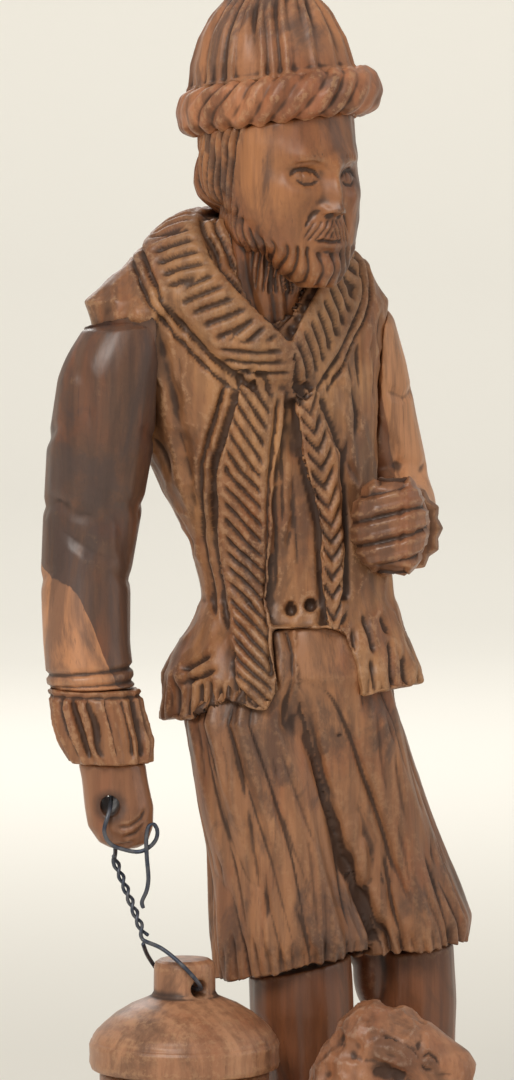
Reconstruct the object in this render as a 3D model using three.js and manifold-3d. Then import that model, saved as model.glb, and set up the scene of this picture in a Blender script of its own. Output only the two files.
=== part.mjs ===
// Carved wooden shepherd with a wire-hung lantern and a sheep, on an oval base. Millimetres, +Z up.
// The figure faces -Y and its right hand is on the -X side. Origin: centre of the base's underside.
import * as THREE from 'three';
import { mergeVertices } from 'three/addons/utils/BufferGeometryUtils.js';
import Module from 'manifold-3d';

const wasm = await Module();
wasm.setup();

// ---- driving sizes ----
const gap = 0.3;                     // air left between two neighbouring carved regions
const cutSmoothing = 0.04;           // slivers along a cut that are thinner than this are taken out
const baseWide = 44, baseDeep = 34;  // half-sizes of the oval base
const baseHigh = 14;
const baseChamfer = 1.6;
const waistTurn = -28;               // the hips are turned towards the figure's right hand
const chestTurn = -12;
const headTurn = 8;
const cuffRibs = 14;
const capRibs = 18;
const brimSteps = 40;
const legSides = 28, armSides = 20, trunkSides = 28, wireSides = 6;
const wireRadius = 0.4;
const handHoleRadius = 1.85;
const neckHoleRadius = 1.7;
const staffHoleRadius = 2.5;
const lanternRimRadius = 17.3;
const lanternBodyRadius = 15.6;
const lanternNeckRadius = 5.6;
const lanternHigh = 48.6;              // neck top to foot
const plugRadius = 10, plugHigh = 3; // turned spigot that holds the lantern's cap on its body
const twistPitch = 4.8;
const collarWide = 5.6, collarThick = 1.9;
const trimProud = 1.1, trimDeep = 2.4;   // how far a trim band stands out, and how far it is let in
const shirtSunk = 0.9, shirtDeep = 3.6;
const hipSunk = 1.6;                   // how far the breeches lie below the vest where it opens

const up = new THREE.Vector3(0, 0, 1);
const handHole = new THREE.Vector3(-38.7, 10.1, 101.4);
const handHoleAxis = new THREE.Vector3(0.5, 0.866, 0).normalize();
const boreSlope = 0.344;                 // the drilled hole falls towards the front of the hand
const handBoreAxis = handHoleAxis.clone().setZ(boreSlope).normalize();
const neckHole = new THREE.Vector3(-29.1, 0, 67.5);
const neckTop = neckHole.z + 5;
const forearmAxis = new THREE.Vector3(-0.5, -0.866, 0).normalize();

// ---- shape helpers ----
const vec = (p) => new THREE.Vector3(...p);
const turned = (degrees) => {
  const t = THREE.MathUtils.degToRad(degrees);
  return new THREE.Vector3(Math.cos(t), Math.sin(t), 0);
};

function closedMesh(points, faces) {
  const g = new THREE.BufferGeometry();
  g.setAttribute('position', new THREE.Float32BufferAttribute(points.flatMap((p) => [p.x, p.y, p.z]), 3));
  g.setIndex(faces.flat());
  return g;
}

// One oval outline: centre, two half-sizes, the way it faces and which way its wide side points.
function ring({ at, wide, deep, turn = 0, along = up, ribs = 0, ribDeep = 0 }, sides, grow) {
  const n = along.clone().normalize();
  const side = turned(turn).addScaledVector(n, -turned(turn).dot(n)).normalize();
  const other = n.clone().cross(side);
  return Array.from({ length: sides }, (_, i) => {
    const a = (i / sides) * 2 * Math.PI;
    const wave = ribs ? ribDeep * (0.5 * Math.cos(ribs * a) - 0.5) : 0;
    return vec(at).addScaledVector(side, (wide + grow + wave) * Math.cos(a))
      .addScaledVector(other, (deep + grow + wave) * Math.sin(a));
  });
}

// A closed solid through a row of ovals, listed in the direction they face.
function loft(ovals, sides, grow = 0) {
  const rows = ovals.map((o, i) => {
    const end = i === 0 ? -grow : i === ovals.length - 1 ? grow : 0;
    const at = vec(o.at).addScaledVector((o.along ?? up).clone().normalize(), end);
    return ring({ ...o, at: at.toArray() }, sides, grow);
  });
  const points = rows.flat();
  const faces = [];
  for (let r = 0; r + 1 < rows.length; r++) {
    for (let i = 0; i < sides; i++) {
      const a = r * sides + i, b = r * sides + ((i + 1) % sides);
      faces.push([a, b, b + sides], [a, b + sides, a + sides]);
    }
  }
  const middle = (row) => row.reduce((s, p) => s.add(p), new THREE.Vector3()).divideScalar(sides);
  const low = points.push(middle(rows[0])) - 1;
  const high = points.push(middle(rows.at(-1))) - 1;
  const top = (rows.length - 1) * sides;
  for (let i = 0; i < sides; i++) {
    const j = (i + 1) % sides;
    faces.push([low, j, i], [high, top + i, top + j]);
  }
  return closedMesh(points, faces);
}

// A closed hoop: an oval section carried round a closed path. "out" gives the section's thick side.
function hoop(pathAt, outAt, wide, thick, steps, sides, grow = 0) {
  const points = [], faces = [];
  for (let s = 0; s < steps; s++) {
    const t = s / steps;
    const tangent = pathAt(t + 0.001).sub(pathAt(t - 0.001)).normalize();
    const out = outAt(t);
    out.addScaledVector(tangent, -out.dot(tangent)).normalize();
    const across = tangent.clone().cross(out);
    for (let i = 0; i < sides; i++) {
      const a = (i / sides) * 2 * Math.PI;
      points.push(pathAt(t).addScaledVector(out, (thick + grow) * Math.cos(a))
        .addScaledVector(across, (wide + grow) * Math.sin(a)));
    }
  }
  for (let s = 0; s < steps; s++) {
    for (let i = 0; i < sides; i++) {
      const j = (i + 1) % sides, r = s * sides, q = ((s + 1) % steps) * sides;
      faces.push([r + i, r + j, q + j], [r + i, q + j, q + i]);
    }
  }
  return closedMesh(points, faces);
}

function solid(geometry) {
  let g = geometry.clone();
  g.deleteAttribute('normal');
  g.deleteAttribute('uv');
  g = mergeVertices(g, 1e-5);
  return new wasm.Manifold(new wasm.Mesh({
    numProp: 3,
    vertProperties: new Float32Array(g.attributes.position.array),
    triVerts: new Uint32Array(g.index.array),
  }));
}

// The largest piece left by a cut, so that no crumbs stay with it.
const biggest = (body) => body.decompose().sort((a, b) => b.volume() - a.volume())[0];
const cutBy = (body, ...others) =>
  biggest(others.reduce((left, o) => left.subtract(o), body)).simplify(cutSmoothing);

function geometryOf(body) {
  const m = body.getMesh();
  const g = new THREE.BufferGeometry();
  g.setAttribute('position', new THREE.BufferAttribute(new Float32Array(m.vertProperties), 3));
  g.setIndex(new THREE.BufferAttribute(new Uint32Array(m.triVerts), 1));
  g.computeVertexNormals();
  return g;
}

// A round bore's cutter through a point along a direction.
function boreCutter(centre, axis, radius, long, sides = 20) {
  const g = new THREE.CylinderGeometry(radius, radius, long, sides);
  g.applyQuaternion(new THREE.Quaternion().setFromUnitVectors(new THREE.Vector3(0, 1, 0), axis));
  g.translate(centre.x, centre.y, centre.z);
  return solid(g);
}

// ---- trunk, collar and front bands ----
const trunkOvals = [
  { at: [0, 11.4, 117.2], wide: 25, deep: 17, turn: waistTurn, along: new THREE.Vector3(-0.12, 0.08, 1) },
  { at: [-0.2, 11.5, 122.4], wide: 24.2, deep: 17, turn: waistTurn },
  { at: [0.4, 11.4, 129], wide: 20.8, deep: 15.2, turn: waistTurn },
  { at: [1.2, 11.3, 136], wide: 17.6, deep: 12.8, turn: waistTurn },
  { at: [-0.8, 11.8, 147], wide: 18.4, deep: 13.4, turn: -24 },
  { at: [-3.8, 12.8, 156], wide: 20.2, deep: 14.4, turn: -19 },
  { at: [-6, 13.4, 166], wide: 22.6, deep: 15.2, turn: -15 },
  { at: [-8, 14, 175], wide: 25, deep: 15.4, turn: chestTurn },
  { at: [-9.3, 14.3, 184], wide: 28, deep: 14.6, turn: -8 },
  { at: [-10, 14.4, 191], wide: 30, deep: 13, turn: -6 },
  { at: [-8, 13.8, 198], wide: 23.8, deep: 11.4, turn: -5 },
  { at: [-9.2, 13.2, 203], wide: 18.4, deep: 10, turn: -4 },
  { at: [-9.2, 12.6, 206], wide: 11, deep: 8, turn: -4 },
];
const trunk = (grow) => solid(loft(trunkOvals, trunkSides, grow));

const collarPath = new THREE.CatmullRomCurve3([
  [-9.5, 22.6, 205.5], [-19.5, 19.2, 205], [-24.8, 12, 202], [-25, 4.5, 194], [-18.5, 0.2, 185.5],
  [-8.4, -1.8, 177.8], [-1.2, 0, 185.5], [5, 3.5, 194], [5.8, 11.5, 202], [0.8, 19.2, 205],
].map(vec), true, 'centripetal');
const wrap = (t) => ((t % 1) + 1) % 1;
const collarMiddle = new THREE.Vector3(-9.5, 14.5, 186);
const collar = (grow) => solid(hoop((t) => collarPath.getPoint(wrap(t)),
  (t) => collarPath.getPoint(wrap(t)).sub(collarMiddle), collarWide, collarThick, 36, 8, grow));

// Front bands are outlines in the plane that faces the turned hips: across, then height.
const rightTrimOutline = [
  [-9.4, 175.5], [-13.8, 160], [-13.6, 147], [-10.8, 131], [-10, 117.2], [-4.2, 116.4], [-2.2, 120.4],
  [-4.2, 136], [-3.2, 158], [-1.2, 174.2],
];
const leftTrimOutline = [
  [0.6, 174.2], [1.9, 163.5], [5.2, 150.5], [6, 136], [6.6, 131.4], [9.6, 130.6], [9.8, 136],
  [9.7, 150.5], [9.2, 163.5], [5.2, 175],
];
const shirtOutline = [
  [-2.4, 172.8], [-5, 158], [-6, 136], [-5, 131.8], [7.4, 132], [7.6, 136], [6.6, 150.5], [3, 163.5],
  [1.8, 172.8],
];
// Below the shirt the skirts part, and the breeches fill the opening up to the waist.
const rightHipOutline = [[-3.3, 131.1], [-1.8, 120.4], [-3.2, 116], [-3.2, 112], [2.6, 112], [1.2, 131.1]];
const leftHipOutline = [[1.5, 131.1], [2.9, 112], [13, 112], [12.2, 124.4], [9.8, 130], [6.3, 131.1]];

function widened(outline, by) {
  const n = outline.length;
  return outline.map((p, i) => {
    const before = outline[(i + n - 1) % n], after = outline[(i + 1) % n];
    const normal = (a, b) => new THREE.Vector2(b[1] - a[1], a[0] - b[0]).normalize();
    const both = normal(before, p).add(normal(p, after)).normalize();
    const reach = by / Math.max(0.5, both.dot(normal(before, p)));
    return [p[0] + both.x * reach, p[1] + both.y * reach];
  });
}

// The outline pushed from the trunk's middle out through its front.
function frontPrism(outline, by = 0) {
  const shape = new THREE.Shape(widened(outline, by).map((p) => new THREE.Vector2(...p)));
  const g = new THREE.ExtrudeGeometry(shape, { depth: 40, bevelEnabled: false });
  const side = turned(-30);
  const front = new THREE.Vector3(side.y, -side.x, 0);
  g.applyMatrix4(new THREE.Matrix4().makeBasis(side, up, front));
  g.translate(-front.x * by, 12 - front.y * by, 0);
  return solid(g);
}
const panel = (outline, proud, deep) =>
  frontPrism(outline).intersect(trunk(proud)).subtract(trunk(-deep));
const panelSeat = (outline, deep) => frontPrism(outline, gap).subtract(trunk(-deep - gap));

// ---- limbs ----
const rightArm = [
  { at: [-29, 13.8, 190], wide: 6, deep: 6.5 },
  { at: [-33.5, 14, 186.5], wide: 8.6, deep: 8.6 },
  { at: [-36.2, 15, 177], wide: 9.4, deep: 9 },
  { at: [-36.9, 17.4, 164], wide: 9.9, deep: 9.4 },
  { at: [-37.4, 19.6, 151], wide: 9, deep: 9 },
  { at: [-39, 18.8, 141], wide: 8.2, deep: 8.4 },
  { at: [-39.8, 16.8, 129], wide: 7.8, deep: 8 },
  { at: [-39.8, 14.8, 119.5], wide: 8, deep: 8 },
].reverse();
const rightCuffOvals = [
  { at: [-38, 11.4, 107.6], wide: 7.7, deep: 7.6, turn: -30, ribs: cuffRibs, ribDeep: 1 },
  { at: [-38.7, 12.4, 111.5], wide: 9, deep: 8.6, turn: -30, ribs: cuffRibs, ribDeep: 1.2 },
  { at: [-39.7, 13.9, 117.5], wide: 8.9, deep: 8.6, turn: -30, ribs: cuffRibs, ribDeep: 1 },
  { at: [-39.8, 14.4, 120.6], wide: 8.3, deep: 8.2, turn: -30, ribs: cuffRibs, ribDeep: 0.4 },
];
const rightHandOvals = [
  { at: [-36.6, 9, 92.2], wide: 2.6, deep: 2.2, turn: -30 },
  { at: [-36.8, 9, 93.2], wide: 4.4, deep: 3.6, turn: -30 },
  { at: [-37.2, 9.2, 96], wide: 5.9, deep: 4.5, turn: -30 },
  { at: [-37.5, 9.4, 99.5], wide: 6.2, deep: 4.7, turn: -30 },
  { at: [-37.9, 9.8, 103], wide: 6, deep: 4.6, turn: -30 },
  { at: [-38.2, 10.6, 107], wide: 5.9, deep: 4.8, turn: -30 },
  { at: [-38.6, 11.6, 110], wide: 5.4, deep: 4.8, turn: -30 },
];
const downLeftArm = (x, y, z) => new THREE.Vector3(x, y, z);
const leftArm = [
  { at: [12, 13.6, 191], wide: 6, deep: 7, along: downLeftArm(0.35, 0, -1), turn: 180 },
  { at: [14.2, 14, 186], wide: 8, deep: 8.6, along: downLeftArm(0.3, 0.05, -1), turn: 180 },
  { at: [16.4, 14.5, 178], wide: 8.6, deep: 9, along: downLeftArm(0.25, 0.05, -1), turn: 180 },
  { at: [18.8, 15.2, 168], wide: 8.8, deep: 9.2, along: downLeftArm(0.2, 0.02, -1), turn: 180 },
  { at: [21.2, 15, 158.5], wide: 8.6, deep: 9.2, along: downLeftArm(0, -0.3, -0.9), turn: 180 },
  { at: [21, 10.6, 152.4], wide: 8.4, deep: 8.8, along: downLeftArm(-0.35, -0.75, -0.4), turn: 150 },
  { at: [18.2, 5.2, 150], wide: 8, deep: 8.2, along: forearmAxis, turn: 150 },
  { at: [16, 1.5, 149.5], wide: 7.8, deep: 8, along: forearmAxis, turn: 150 },
];
const leftCuffOvals = [
  { at: [16.2, 2, 149.5], wide: 8, deep: 8, along: forearmAxis, turn: 150, ribs: cuffRibs, ribDeep: 0.4 },
  { at: [15.3, 0.4, 149.4], wide: 8.8, deep: 8.8, along: forearmAxis, turn: 150,
    ribs: cuffRibs, ribDeep: 1.2 },
  { at: [13.4, -2.8, 149.3], wide: 9.5, deep: 9.5, along: forearmAxis, turn: 150,
    ribs: cuffRibs, ribDeep: 1.4 },
  { at: [12.5, -4.4, 149.3], wide: 8.7, deep: 8.7, along: forearmAxis, turn: 150,
    ribs: cuffRibs, ribDeep: 1.2 },
];
const leftHandOvals = [
  { at: [13.4, -2.8, 150], wide: 5.4, deep: 6, along: forearmAxis, turn: 150 },
  { at: [12, -5.2, 150], wide: 6.6, deep: 7.6, along: forearmAxis, turn: 150 },
  { at: [10.6, -7.4, 150.2], wide: 7.6, deep: 9.2, along: forearmAxis, turn: 150 },
  { at: [9, -10, 150.2], wide: 7.9, deep: 9.7, along: forearmAxis, turn: 150 },
  { at: [7.6, -12.4, 150.2], wide: 6.9, deep: 8.8, along: forearmAxis, turn: 150 },
  { at: [6.7, -13.8, 150.2], wide: 4.2, deep: 6.4, along: forearmAxis, turn: 150 },
];
const staffHole = new THREE.Vector3(9.7, -8.8, 150);

// ---- legs, boots and base ----
const rightLegOvals = [
  { at: [-1.4, 8.4, 68.4], wide: 14.4, deep: 12.5, turn: -30, along: new THREE.Vector3(-0.18, 0.1, 1) },
  { at: [-1.6, 8.4, 74], wide: 14.6, deep: 13.2, turn: -30 },
  { at: [-4.3, 9, 89], wide: 12.9, deep: 12.6, turn: -30 },
  { at: [-7.4, 10, 104], wide: 12, deep: 12.4, turn: -30 },
  { at: [-9.4, 11.4, 114], wide: 11.6, deep: 12.2, turn: -30 },
  { at: [-7.4, 11.4, 122], wide: 10.6, deep: 10.6, turn: -30 },
  { at: [-6, 11.4, 127], wide: 8.4, deep: 8.4, turn: -30 },
];
const leftLegOvals = [
  { at: [21.2, 7.6, 70], wide: 12.8, deep: 12, turn: -30, along: new THREE.Vector3(-0.1, 0.05, 1) },
  { at: [20.8, 7.8, 76], wide: 13.6, deep: 12.8, turn: -30 },
  { at: [16.4, 8.6, 90], wide: 12.6, deep: 12.4, turn: -30 },
  { at: [11.6, 8, 104], wide: 11.8, deep: 12.8, turn: -30 },
  { at: [9.2, 8, 114], wide: 11.2, deep: 13, turn: -30 },
  { at: [8.2, 9, 122], wide: 10.4, deep: 11.6, turn: -30 },
  { at: [8, 11, 127], wide: 8.4, deep: 8.4, turn: -30 },
];
const calf = (foot, knee, ankleWide, kneeWide) => [
  { at: [...foot, 24], wide: ankleWide, deep: ankleWide * 1.05 },
  { at: [...foot.map((f, i) => f + (knee[i] - f) * 0.3), 38], wide: ankleWide, deep: ankleWide * 1.05 },
  { at: [...foot.map((f, i) => f + (knee[i] - f) * 0.8), 60], wide: kneeWide, deep: kneeWide * 1.02 },
  { at: [...knee, 74], wide: kneeWide, deep: kneeWide },
];
const rightFoot = [2.2, 6.2], rightKnee = [-0.6, 8.2];
const leftFoot = [26.6, 6.2], leftKnee = [23.6, 7.6];

// A boot: sole outline rings stacked upwards, toe towards -Y and turned a little.
function boot(foot, toeTurn, grow) {
  const heading = turned(toeTurn - 90);
  const oval = (forward, z, wide, deep) => ({
    at: [foot[0] + heading.x * forward, foot[1] + heading.y * forward, z], wide, deep, turn: toeTurn,
  });
  const floor = baseHigh + gap;
  return solid(loft([
    oval(4.6, floor + 0.001, 6.6, 12.6), oval(4.8, floor + 1.8, 7, 13.2), oval(4.6, floor + 4.5, 6.8, 12.4),
    oval(2.6, floor + 7.5, 6.6, 9.6), oval(0.8, floor + 10.5, 7.2, 8.2), oval(0, floor + 15, 7.6, 8),
    oval(0, floor + 18, 8.2, 8.6), oval(0, floor + 20, 7.8, 8.2),
  ], 22, grow));
}

const base = loft([
  { at: [0, 0, 0], wide: baseWide - baseChamfer, deep: baseDeep - baseChamfer },
  { at: [0, 0, baseChamfer], wide: baseWide, deep: baseDeep },
  { at: [0, 0, baseHigh - 2], wide: baseWide - 0.6, deep: baseDeep - 0.6 },
  { at: [0, 0, baseHigh], wide: baseWide - 2.4, deep: baseDeep - 2.4 },
], 48);

// ---- sheep ----
const sheepBodyOvals = [
  { at: [-1, -19.4, 22], wide: 9.5, deep: 8, turn: -25 },
  { at: [-0.4, -19.4, 27], wide: 11.2, deep: 9.4, turn: -25 },
  { at: [-0.6, -19.2, 34], wide: 11.8, deep: 9.8, turn: -25 },
  { at: [-1, -19, 42], wide: 12, deep: 9.8, turn: -25 },
  { at: [-2, -19.2, 49], wide: 11.6, deep: 9.2, turn: -25 },
  { at: [-1.8, -19.4, 55], wide: 9.8, deep: 8.2, turn: -25 },
  { at: [-1, -19.6, 60], wide: 6.4, deep: 5.8, turn: -25 },
];
const sheepFace = new THREE.Vector3(0.82, -0.46, -0.34).normalize();
const sheepHeadOvals = [[-7, 5, 4.6], [-4.5, 7.6, 7.4], [0, 8.4, 8.2], [4.5, 7.2, 7], [8.5, 5.8, 5.6],
  [12, 4.9, 4.6], [14, 3.2, 3]].map(([forward, wide, deep]) => ({
  at: vec([2.6, -21.8, 55.6]).addScaledVector(sheepFace, forward).toArray(), wide, deep,
  along: sheepFace, turn: 60,
}));
const sheepLegSpots = [[-9, -15.2], [-6.6, -22.6], [5.6, -14.6], [6.8, -22.6]];
const sheepLeg = (spot) => solid(loft([
  { at: [...spot, baseHigh + gap], wide: 3, deep: 3 },
  { at: [...spot, baseHigh + gap + 2.4], wide: 2.9, deep: 2.9 },
  { at: [...spot, 26], wide: 3.2, deep: 3.2 },
], 14));

// ---- head and cap ----
const neckOvals = [
  { at: [-9, 9.5, 184], wide: 7.6, deep: 8 },
  { at: [-9, 8.6, 192], wide: 8, deep: 8.4 },
  { at: [-8.6, 7.6, 200], wide: 8.2, deep: 8.6 },
  { at: [-8, 6.4, 208], wide: 8.4, deep: 8.6 },
  { at: [-7.8, 6, 214], wide: 7, deep: 7 },
];
const headOvals = [
  { at: [-4.6, -5.2, 194], wide: 3.4, deep: 2.8 },
  { at: [-5, -4.2, 196.5], wide: 6.2, deep: 5 },
  { at: [-5.6, -3.2, 201], wide: 9.4, deep: 7.4 },
  { at: [-6.2, -0.9, 206], wide: 11.8, deep: 10.2 },
  { at: [-7, 1.8, 212], wide: 13, deep: 13.6 },
  { at: [-7.5, 3.6, 219], wide: 13.4, deep: 15.6 },
  { at: [-7.6, 4.2, 226], wide: 13.2, deep: 15.2 },
  { at: [-7.6, 4.8, 233], wide: 11.4, deep: 13 },
  { at: [-7.6, 5, 238], wide: 7.6, deep: 9 },
  { at: [-7.6, 5, 240], wide: 4, deep: 5 },
].map((o) => ({ ...o, turn: headTurn }));
const capOvals = [
  [225, 14.4, 16.4], [230, 14.8, 16.8], [234, 14.4, 16.2], [239, 13, 14.6], [243.5, 10.6, 12],
  [247, 7.6, 8.6], [249.2, 4.4, 4.8], [250, 1.6, 1.8],
].map(([z, wide, deep]) => ({
  at: [-7.4, 6, z], wide, deep, turn: headTurn, ribs: capRibs, ribDeep: 0.9 * Math.min(1, wide / 12),
}));
const capCrown = (grow) => solid(loft(capOvals, capRibs * 2, grow));
const brimCentre = new THREE.Vector3(-6.6, 5, 227.2);
const brimSlope = 0.13;              // rise towards the front left of the figure
const brimAt = (t) => {
  const a = wrap(t) * 2 * Math.PI;
  const flat = turned(headTurn).multiplyScalar(14.8 * Math.cos(a))
    .addScaledVector(turned(headTurn + 90), 17 * Math.sin(a));
  return flat.clone().add(brimCentre).addScaledVector(up, brimSlope * flat.dot(turned(-30)));
};
const brim = (grow) => solid(hoop(brimAt,
  (t) => brimAt(t).sub(brimCentre).setZ(0), 4.2, 3, brimSteps, 8, grow));

// ---- lantern ----
const lanternLidHigh = 8, rimHigh = 5.4;
const lidTop = neckTop - 6.6;
const rimTop = lidTop - lanternLidHigh;
const rimLow = rimTop - rimHigh;
const lanternFoot = neckTop - lanternHigh;
const lathe = (profile, steps, [x, y]) => {
  const g = new THREE.LatheGeometry(profile.map((p) => new THREE.Vector2(...p)), steps);
  g.rotateX(Math.PI / 2);
  g.translate(x, y, 0);
  return solid(g);
};
const lanternSpot = [neckHole.x, neckHole.y];
const socketRadius = plugRadius + gap;
const lanternCapProfile = [
  [0, rimLow + plugHigh + gap], [socketRadius, rimLow + plugHigh + gap], [socketRadius, rimLow],
  [lanternRimRadius - 0.9, rimLow], [lanternRimRadius, rimLow + 0.9], [lanternRimRadius, rimTop - 0.4],
  [lanternRimRadius - 0.8, rimTop + 0.4],
  [lanternRimRadius - 2.4, rimTop + 2.2], [13, rimTop + 4.2], [10, rimTop + 6.3],
  [lanternNeckRadius + 0.9, lidTop - 0.4], [lanternNeckRadius, lidTop + 0.5],
  [lanternNeckRadius, neckTop - 1],
  [lanternNeckRadius - 0.9, neckTop - 0.2], [lanternNeckRadius - 2.5, neckTop], [0, neckTop],
];
const lanternBodyProfile = [
  [0, lanternFoot], [lanternBodyRadius - 2.2, lanternFoot], [lanternBodyRadius - 1.2, lanternFoot + 1],
  [lanternBodyRadius - 1.2, lanternFoot + 2.4], [lanternBodyRadius - 2, lanternFoot + 3.4],
  [lanternBodyRadius - 0.4, lanternFoot + 5], [lanternBodyRadius, lanternFoot + 9],
  [lanternBodyRadius, rimLow - 8], [lanternBodyRadius - 0.7, rimLow - 7.3],
  [lanternBodyRadius, rimLow - 6.6], [lanternBodyRadius - 0.3, rimLow - gap],
  [plugRadius, rimLow - gap], [plugRadius, rimLow + plugHigh], [0, rimLow + plugHigh],
];

// ---- wire ----
const sideOfHand = turned(-30);                       // across the hand, square to its drilled hole
const byHand = (across, towards, z) => handHole.clone().addScaledVector(sideOfHand, across)
  .addScaledVector(handHoleAxis, -towards).setZ(z);
const inBore = (towards) => byHand(0, towards, handHole.z - boreSlope * towards);
function wireSolid(points, steps, tension = 'centripetal') {
  const path = new THREE.CatmullRomCurve3(points, false, tension);
  const shape = new THREE.Shape();
  for (let i = 0; i <= wireSides; i++) {
    const a = (i / wireSides) * 2 * Math.PI;
    shape[i ? 'lineTo' : 'moveTo'](wireRadius * Math.cos(a), wireRadius * Math.sin(a));
  }
  return solid(new THREE.ExtrudeGeometry(shape, { steps, bevelEnabled: false, extrudePath: path }));
}
const strandPlane = 5.7;                     // how far the loop stands in front of the hole's middle
const twistTop = byHand(0.6, 0.2, handHole.z - 11.4);
const knot = neckHole.clone().add(new THREE.Vector3(-7.6, 1.2, 9.2));
const strandRadius = 0.72;                            // each strand winds this far from the pair's middle
function twisted(phase, from, to, lead, tail) {
  const along = to.clone().sub(from);
  const long = along.length();
  along.normalize();
  const a = turned(-30).addScaledVector(along, -turned(-30).dot(along)).normalize();
  const b = along.clone().cross(a);
  const turns = long / twistPitch;
  const count = Math.round(turns * 6);
  const helix = Array.from({ length: count + 1 }, (_, i) => {
    const t = i / count, angle = phase + t * turns * 2 * Math.PI;
    return from.clone().addScaledVector(along, t * long).addScaledVector(a, strandRadius * Math.cos(angle))
      .addScaledVector(b, strandRadius * Math.sin(angle));
  });
  return [...lead, ...helix, ...tail];
}
const rearTowards = -strandPlane;
const hangerPoints = twisted(-Math.PI / 2, twistTop, knot, [
  byHand(6, strandPlane + 0.6, handHole.z - 19.6), byHand(5.6, strandPlane + 0.6, handHole.z - 18.4),
  byHand(6.4, strandPlane + 0.6, handHole.z - 17), byHand(6.9, strandPlane + 0.7, handHole.z - 14.6),
  byHand(6.6, strandPlane + 0.7, handHole.z - 10), byHand(6.6, strandPlane + 0.7, handHole.z - 6),
  byHand(7.4, strandPlane + 0.6, handHole.z - 4), byHand(8.5, strandPlane + 0.4, handHole.z - 5.2),
  byHand(8.2, strandPlane + 0.2, handHole.z - 7.4), byHand(5.6, strandPlane, handHole.z - 9.4),
  byHand(2.4, strandPlane, handHole.z - 9), byHand(0, strandPlane, handHole.z - 8),
  byHand(-1.1, strandPlane, handHole.z - 5.8), byHand(-0.5, strandPlane, handHole.z - 3.3),
  inBore(strandPlane - 1.2), inBore(2), inBore(-2), inBore(rearTowards + 1.2),
  byHand(0.2, rearTowards, handHole.z + 0.2), byHand(0.4, rearTowards, handHole.z - 5),
  byHand(0.6, rearTowards + 1.2, handHole.z - 9),
  byHand(0.7, -2.4, handHole.z - 10.8),
], []);
const loopPoints = twisted(Math.PI / 2, twistTop, knot, [
  byHand(0.5, 2.2, handHole.z - 10.6),
], [
  neckHole.clone().add(new THREE.Vector3(-6, -2.4, 7.4)),
  neckHole.clone().add(new THREE.Vector3(-3.4, -6.2, 4.2)),
  neckHole.clone().add(new THREE.Vector3(-0.8, -7, 1)),
  neckHole.clone().add(new THREE.Vector3(0, -6, 0)),
  neckHole.clone().add(new THREE.Vector3(0, -3, 0)),
  neckHole.clone().add(new THREE.Vector3(0, 3, 0)),
  neckHole.clone().add(new THREE.Vector3(0, 6, 0)),
  neckHole.clone().add(new THREE.Vector3(-0.8, 7, 1)),
  neckHole.clone().add(new THREE.Vector3(-3.8, 6.6, 4.6)),
  neckHole.clone().add(new THREE.Vector3(-6.4, 4, 7.6)),
]);

// ---- fitting the regions together ----
const rightCuff = (g) => solid(loft(rightCuffOvals, cuffRibs * 2, g));
const leftCuff = (g) => solid(loft(leftCuffOvals, cuffRibs * 2, g));
const leftHand = (g) => solid(loft(leftHandOvals, armSides, g));
const hipOvals = [{ at: [1, 10.6, 106], wide: 22, deep: 12.8, turn: waistTurn }, ...trunkOvals.slice(1, 5)];
const hip = (outline, g) => frontPrism(outline, g)
  .intersect(solid(loft(hipOvals, trunkSides, g - hipSunk)));
const rightLeg = (g) => solid(loft(rightLegOvals, legSides, g)).add(hip(rightHipOutline, g));
const leftLeg = (g) => solid(loft(leftLegOvals, legSides, g)).add(hip(leftHipOutline, g));
const head = (g) => solid(loft(headOvals, 28, g));
const neck = (g) => solid(loft(neckOvals, 20, g));
const sheepHead = (g) => solid(loft(sheepHeadOvals, 20, g));

const bodies = {};
bodies.base = solid(base);
bodies.right_boot = boot(rightFoot, -14, 0);
bodies.left_boot = boot(leftFoot, 18, 0);
bodies.right_trouser_leg = rightLeg(0);
bodies.left_trouser_leg = cutBy(leftLeg(0), rightLeg(gap));
bodies.right_calf = cutBy(solid(loft(calf(rightFoot, rightKnee, 6.5, 9.6), 20)),
  boot(rightFoot, -14, gap), rightLeg(gap), leftLeg(gap));
bodies.left_calf = cutBy(solid(loft(calf(leftFoot, leftKnee, 6.1, 7.8), 20)),
  boot(leftFoot, 18, gap), leftLeg(gap), rightLeg(gap));

const seats = [panelSeat(rightTrimOutline, trimDeep), panelSeat(leftTrimOutline, trimDeep)];
const opening = [rightHipOutline, leftHipOutline].map((outline) => panelSeat(outline, hipSunk + 1));
const dressed = [collar(gap), neck(gap), head(gap), leftCuff(gap), leftHand(gap),
  rightLeg(gap), leftLeg(gap)];
bodies.vest = cutBy(trunk(0), ...seats, ...opening, panelSeat(shirtOutline, shirtDeep), ...dressed);
bodies.right_front_trim = cutBy(panel(rightTrimOutline, trimProud, trimDeep), ...dressed);
bodies.left_front_trim = cutBy(panel(leftTrimOutline, trimProud, trimDeep), ...dressed);
bodies.shirt_front = cutBy(panel(shirtOutline, -shirtSunk, shirtDeep), ...seats, ...dressed);
bodies.fur_collar = collar(0);
bodies.right_cuff = rightCuff(0);
bodies.left_cuff = leftCuff(0);
bodies.right_sleeve = cutBy(solid(loft(rightArm, armSides)), trunk(gap), rightCuff(gap));
bodies.left_sleeve = cutBy(solid(loft(leftArm, armSides)), trunk(gap), leftCuff(gap));
bodies.right_hand = cutBy(solid(loft(rightHandOvals, armSides)), rightCuff(gap),
  boreCutter(handHole, handBoreAxis, handHoleRadius, 30));
bodies.left_hand = cutBy(leftHand(0), leftCuff(gap), boreCutter(staffHole, up, staffHoleRadius, 40));
bodies.neck = cutBy(neck(0), collar(gap), head(gap));
bodies.head = cutBy(head(0), capCrown(gap), brim(gap), collar(gap));
bodies.cap_crown = cutBy(capCrown(0), brim(gap));
bodies.cap_brim = brim(0);
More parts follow.
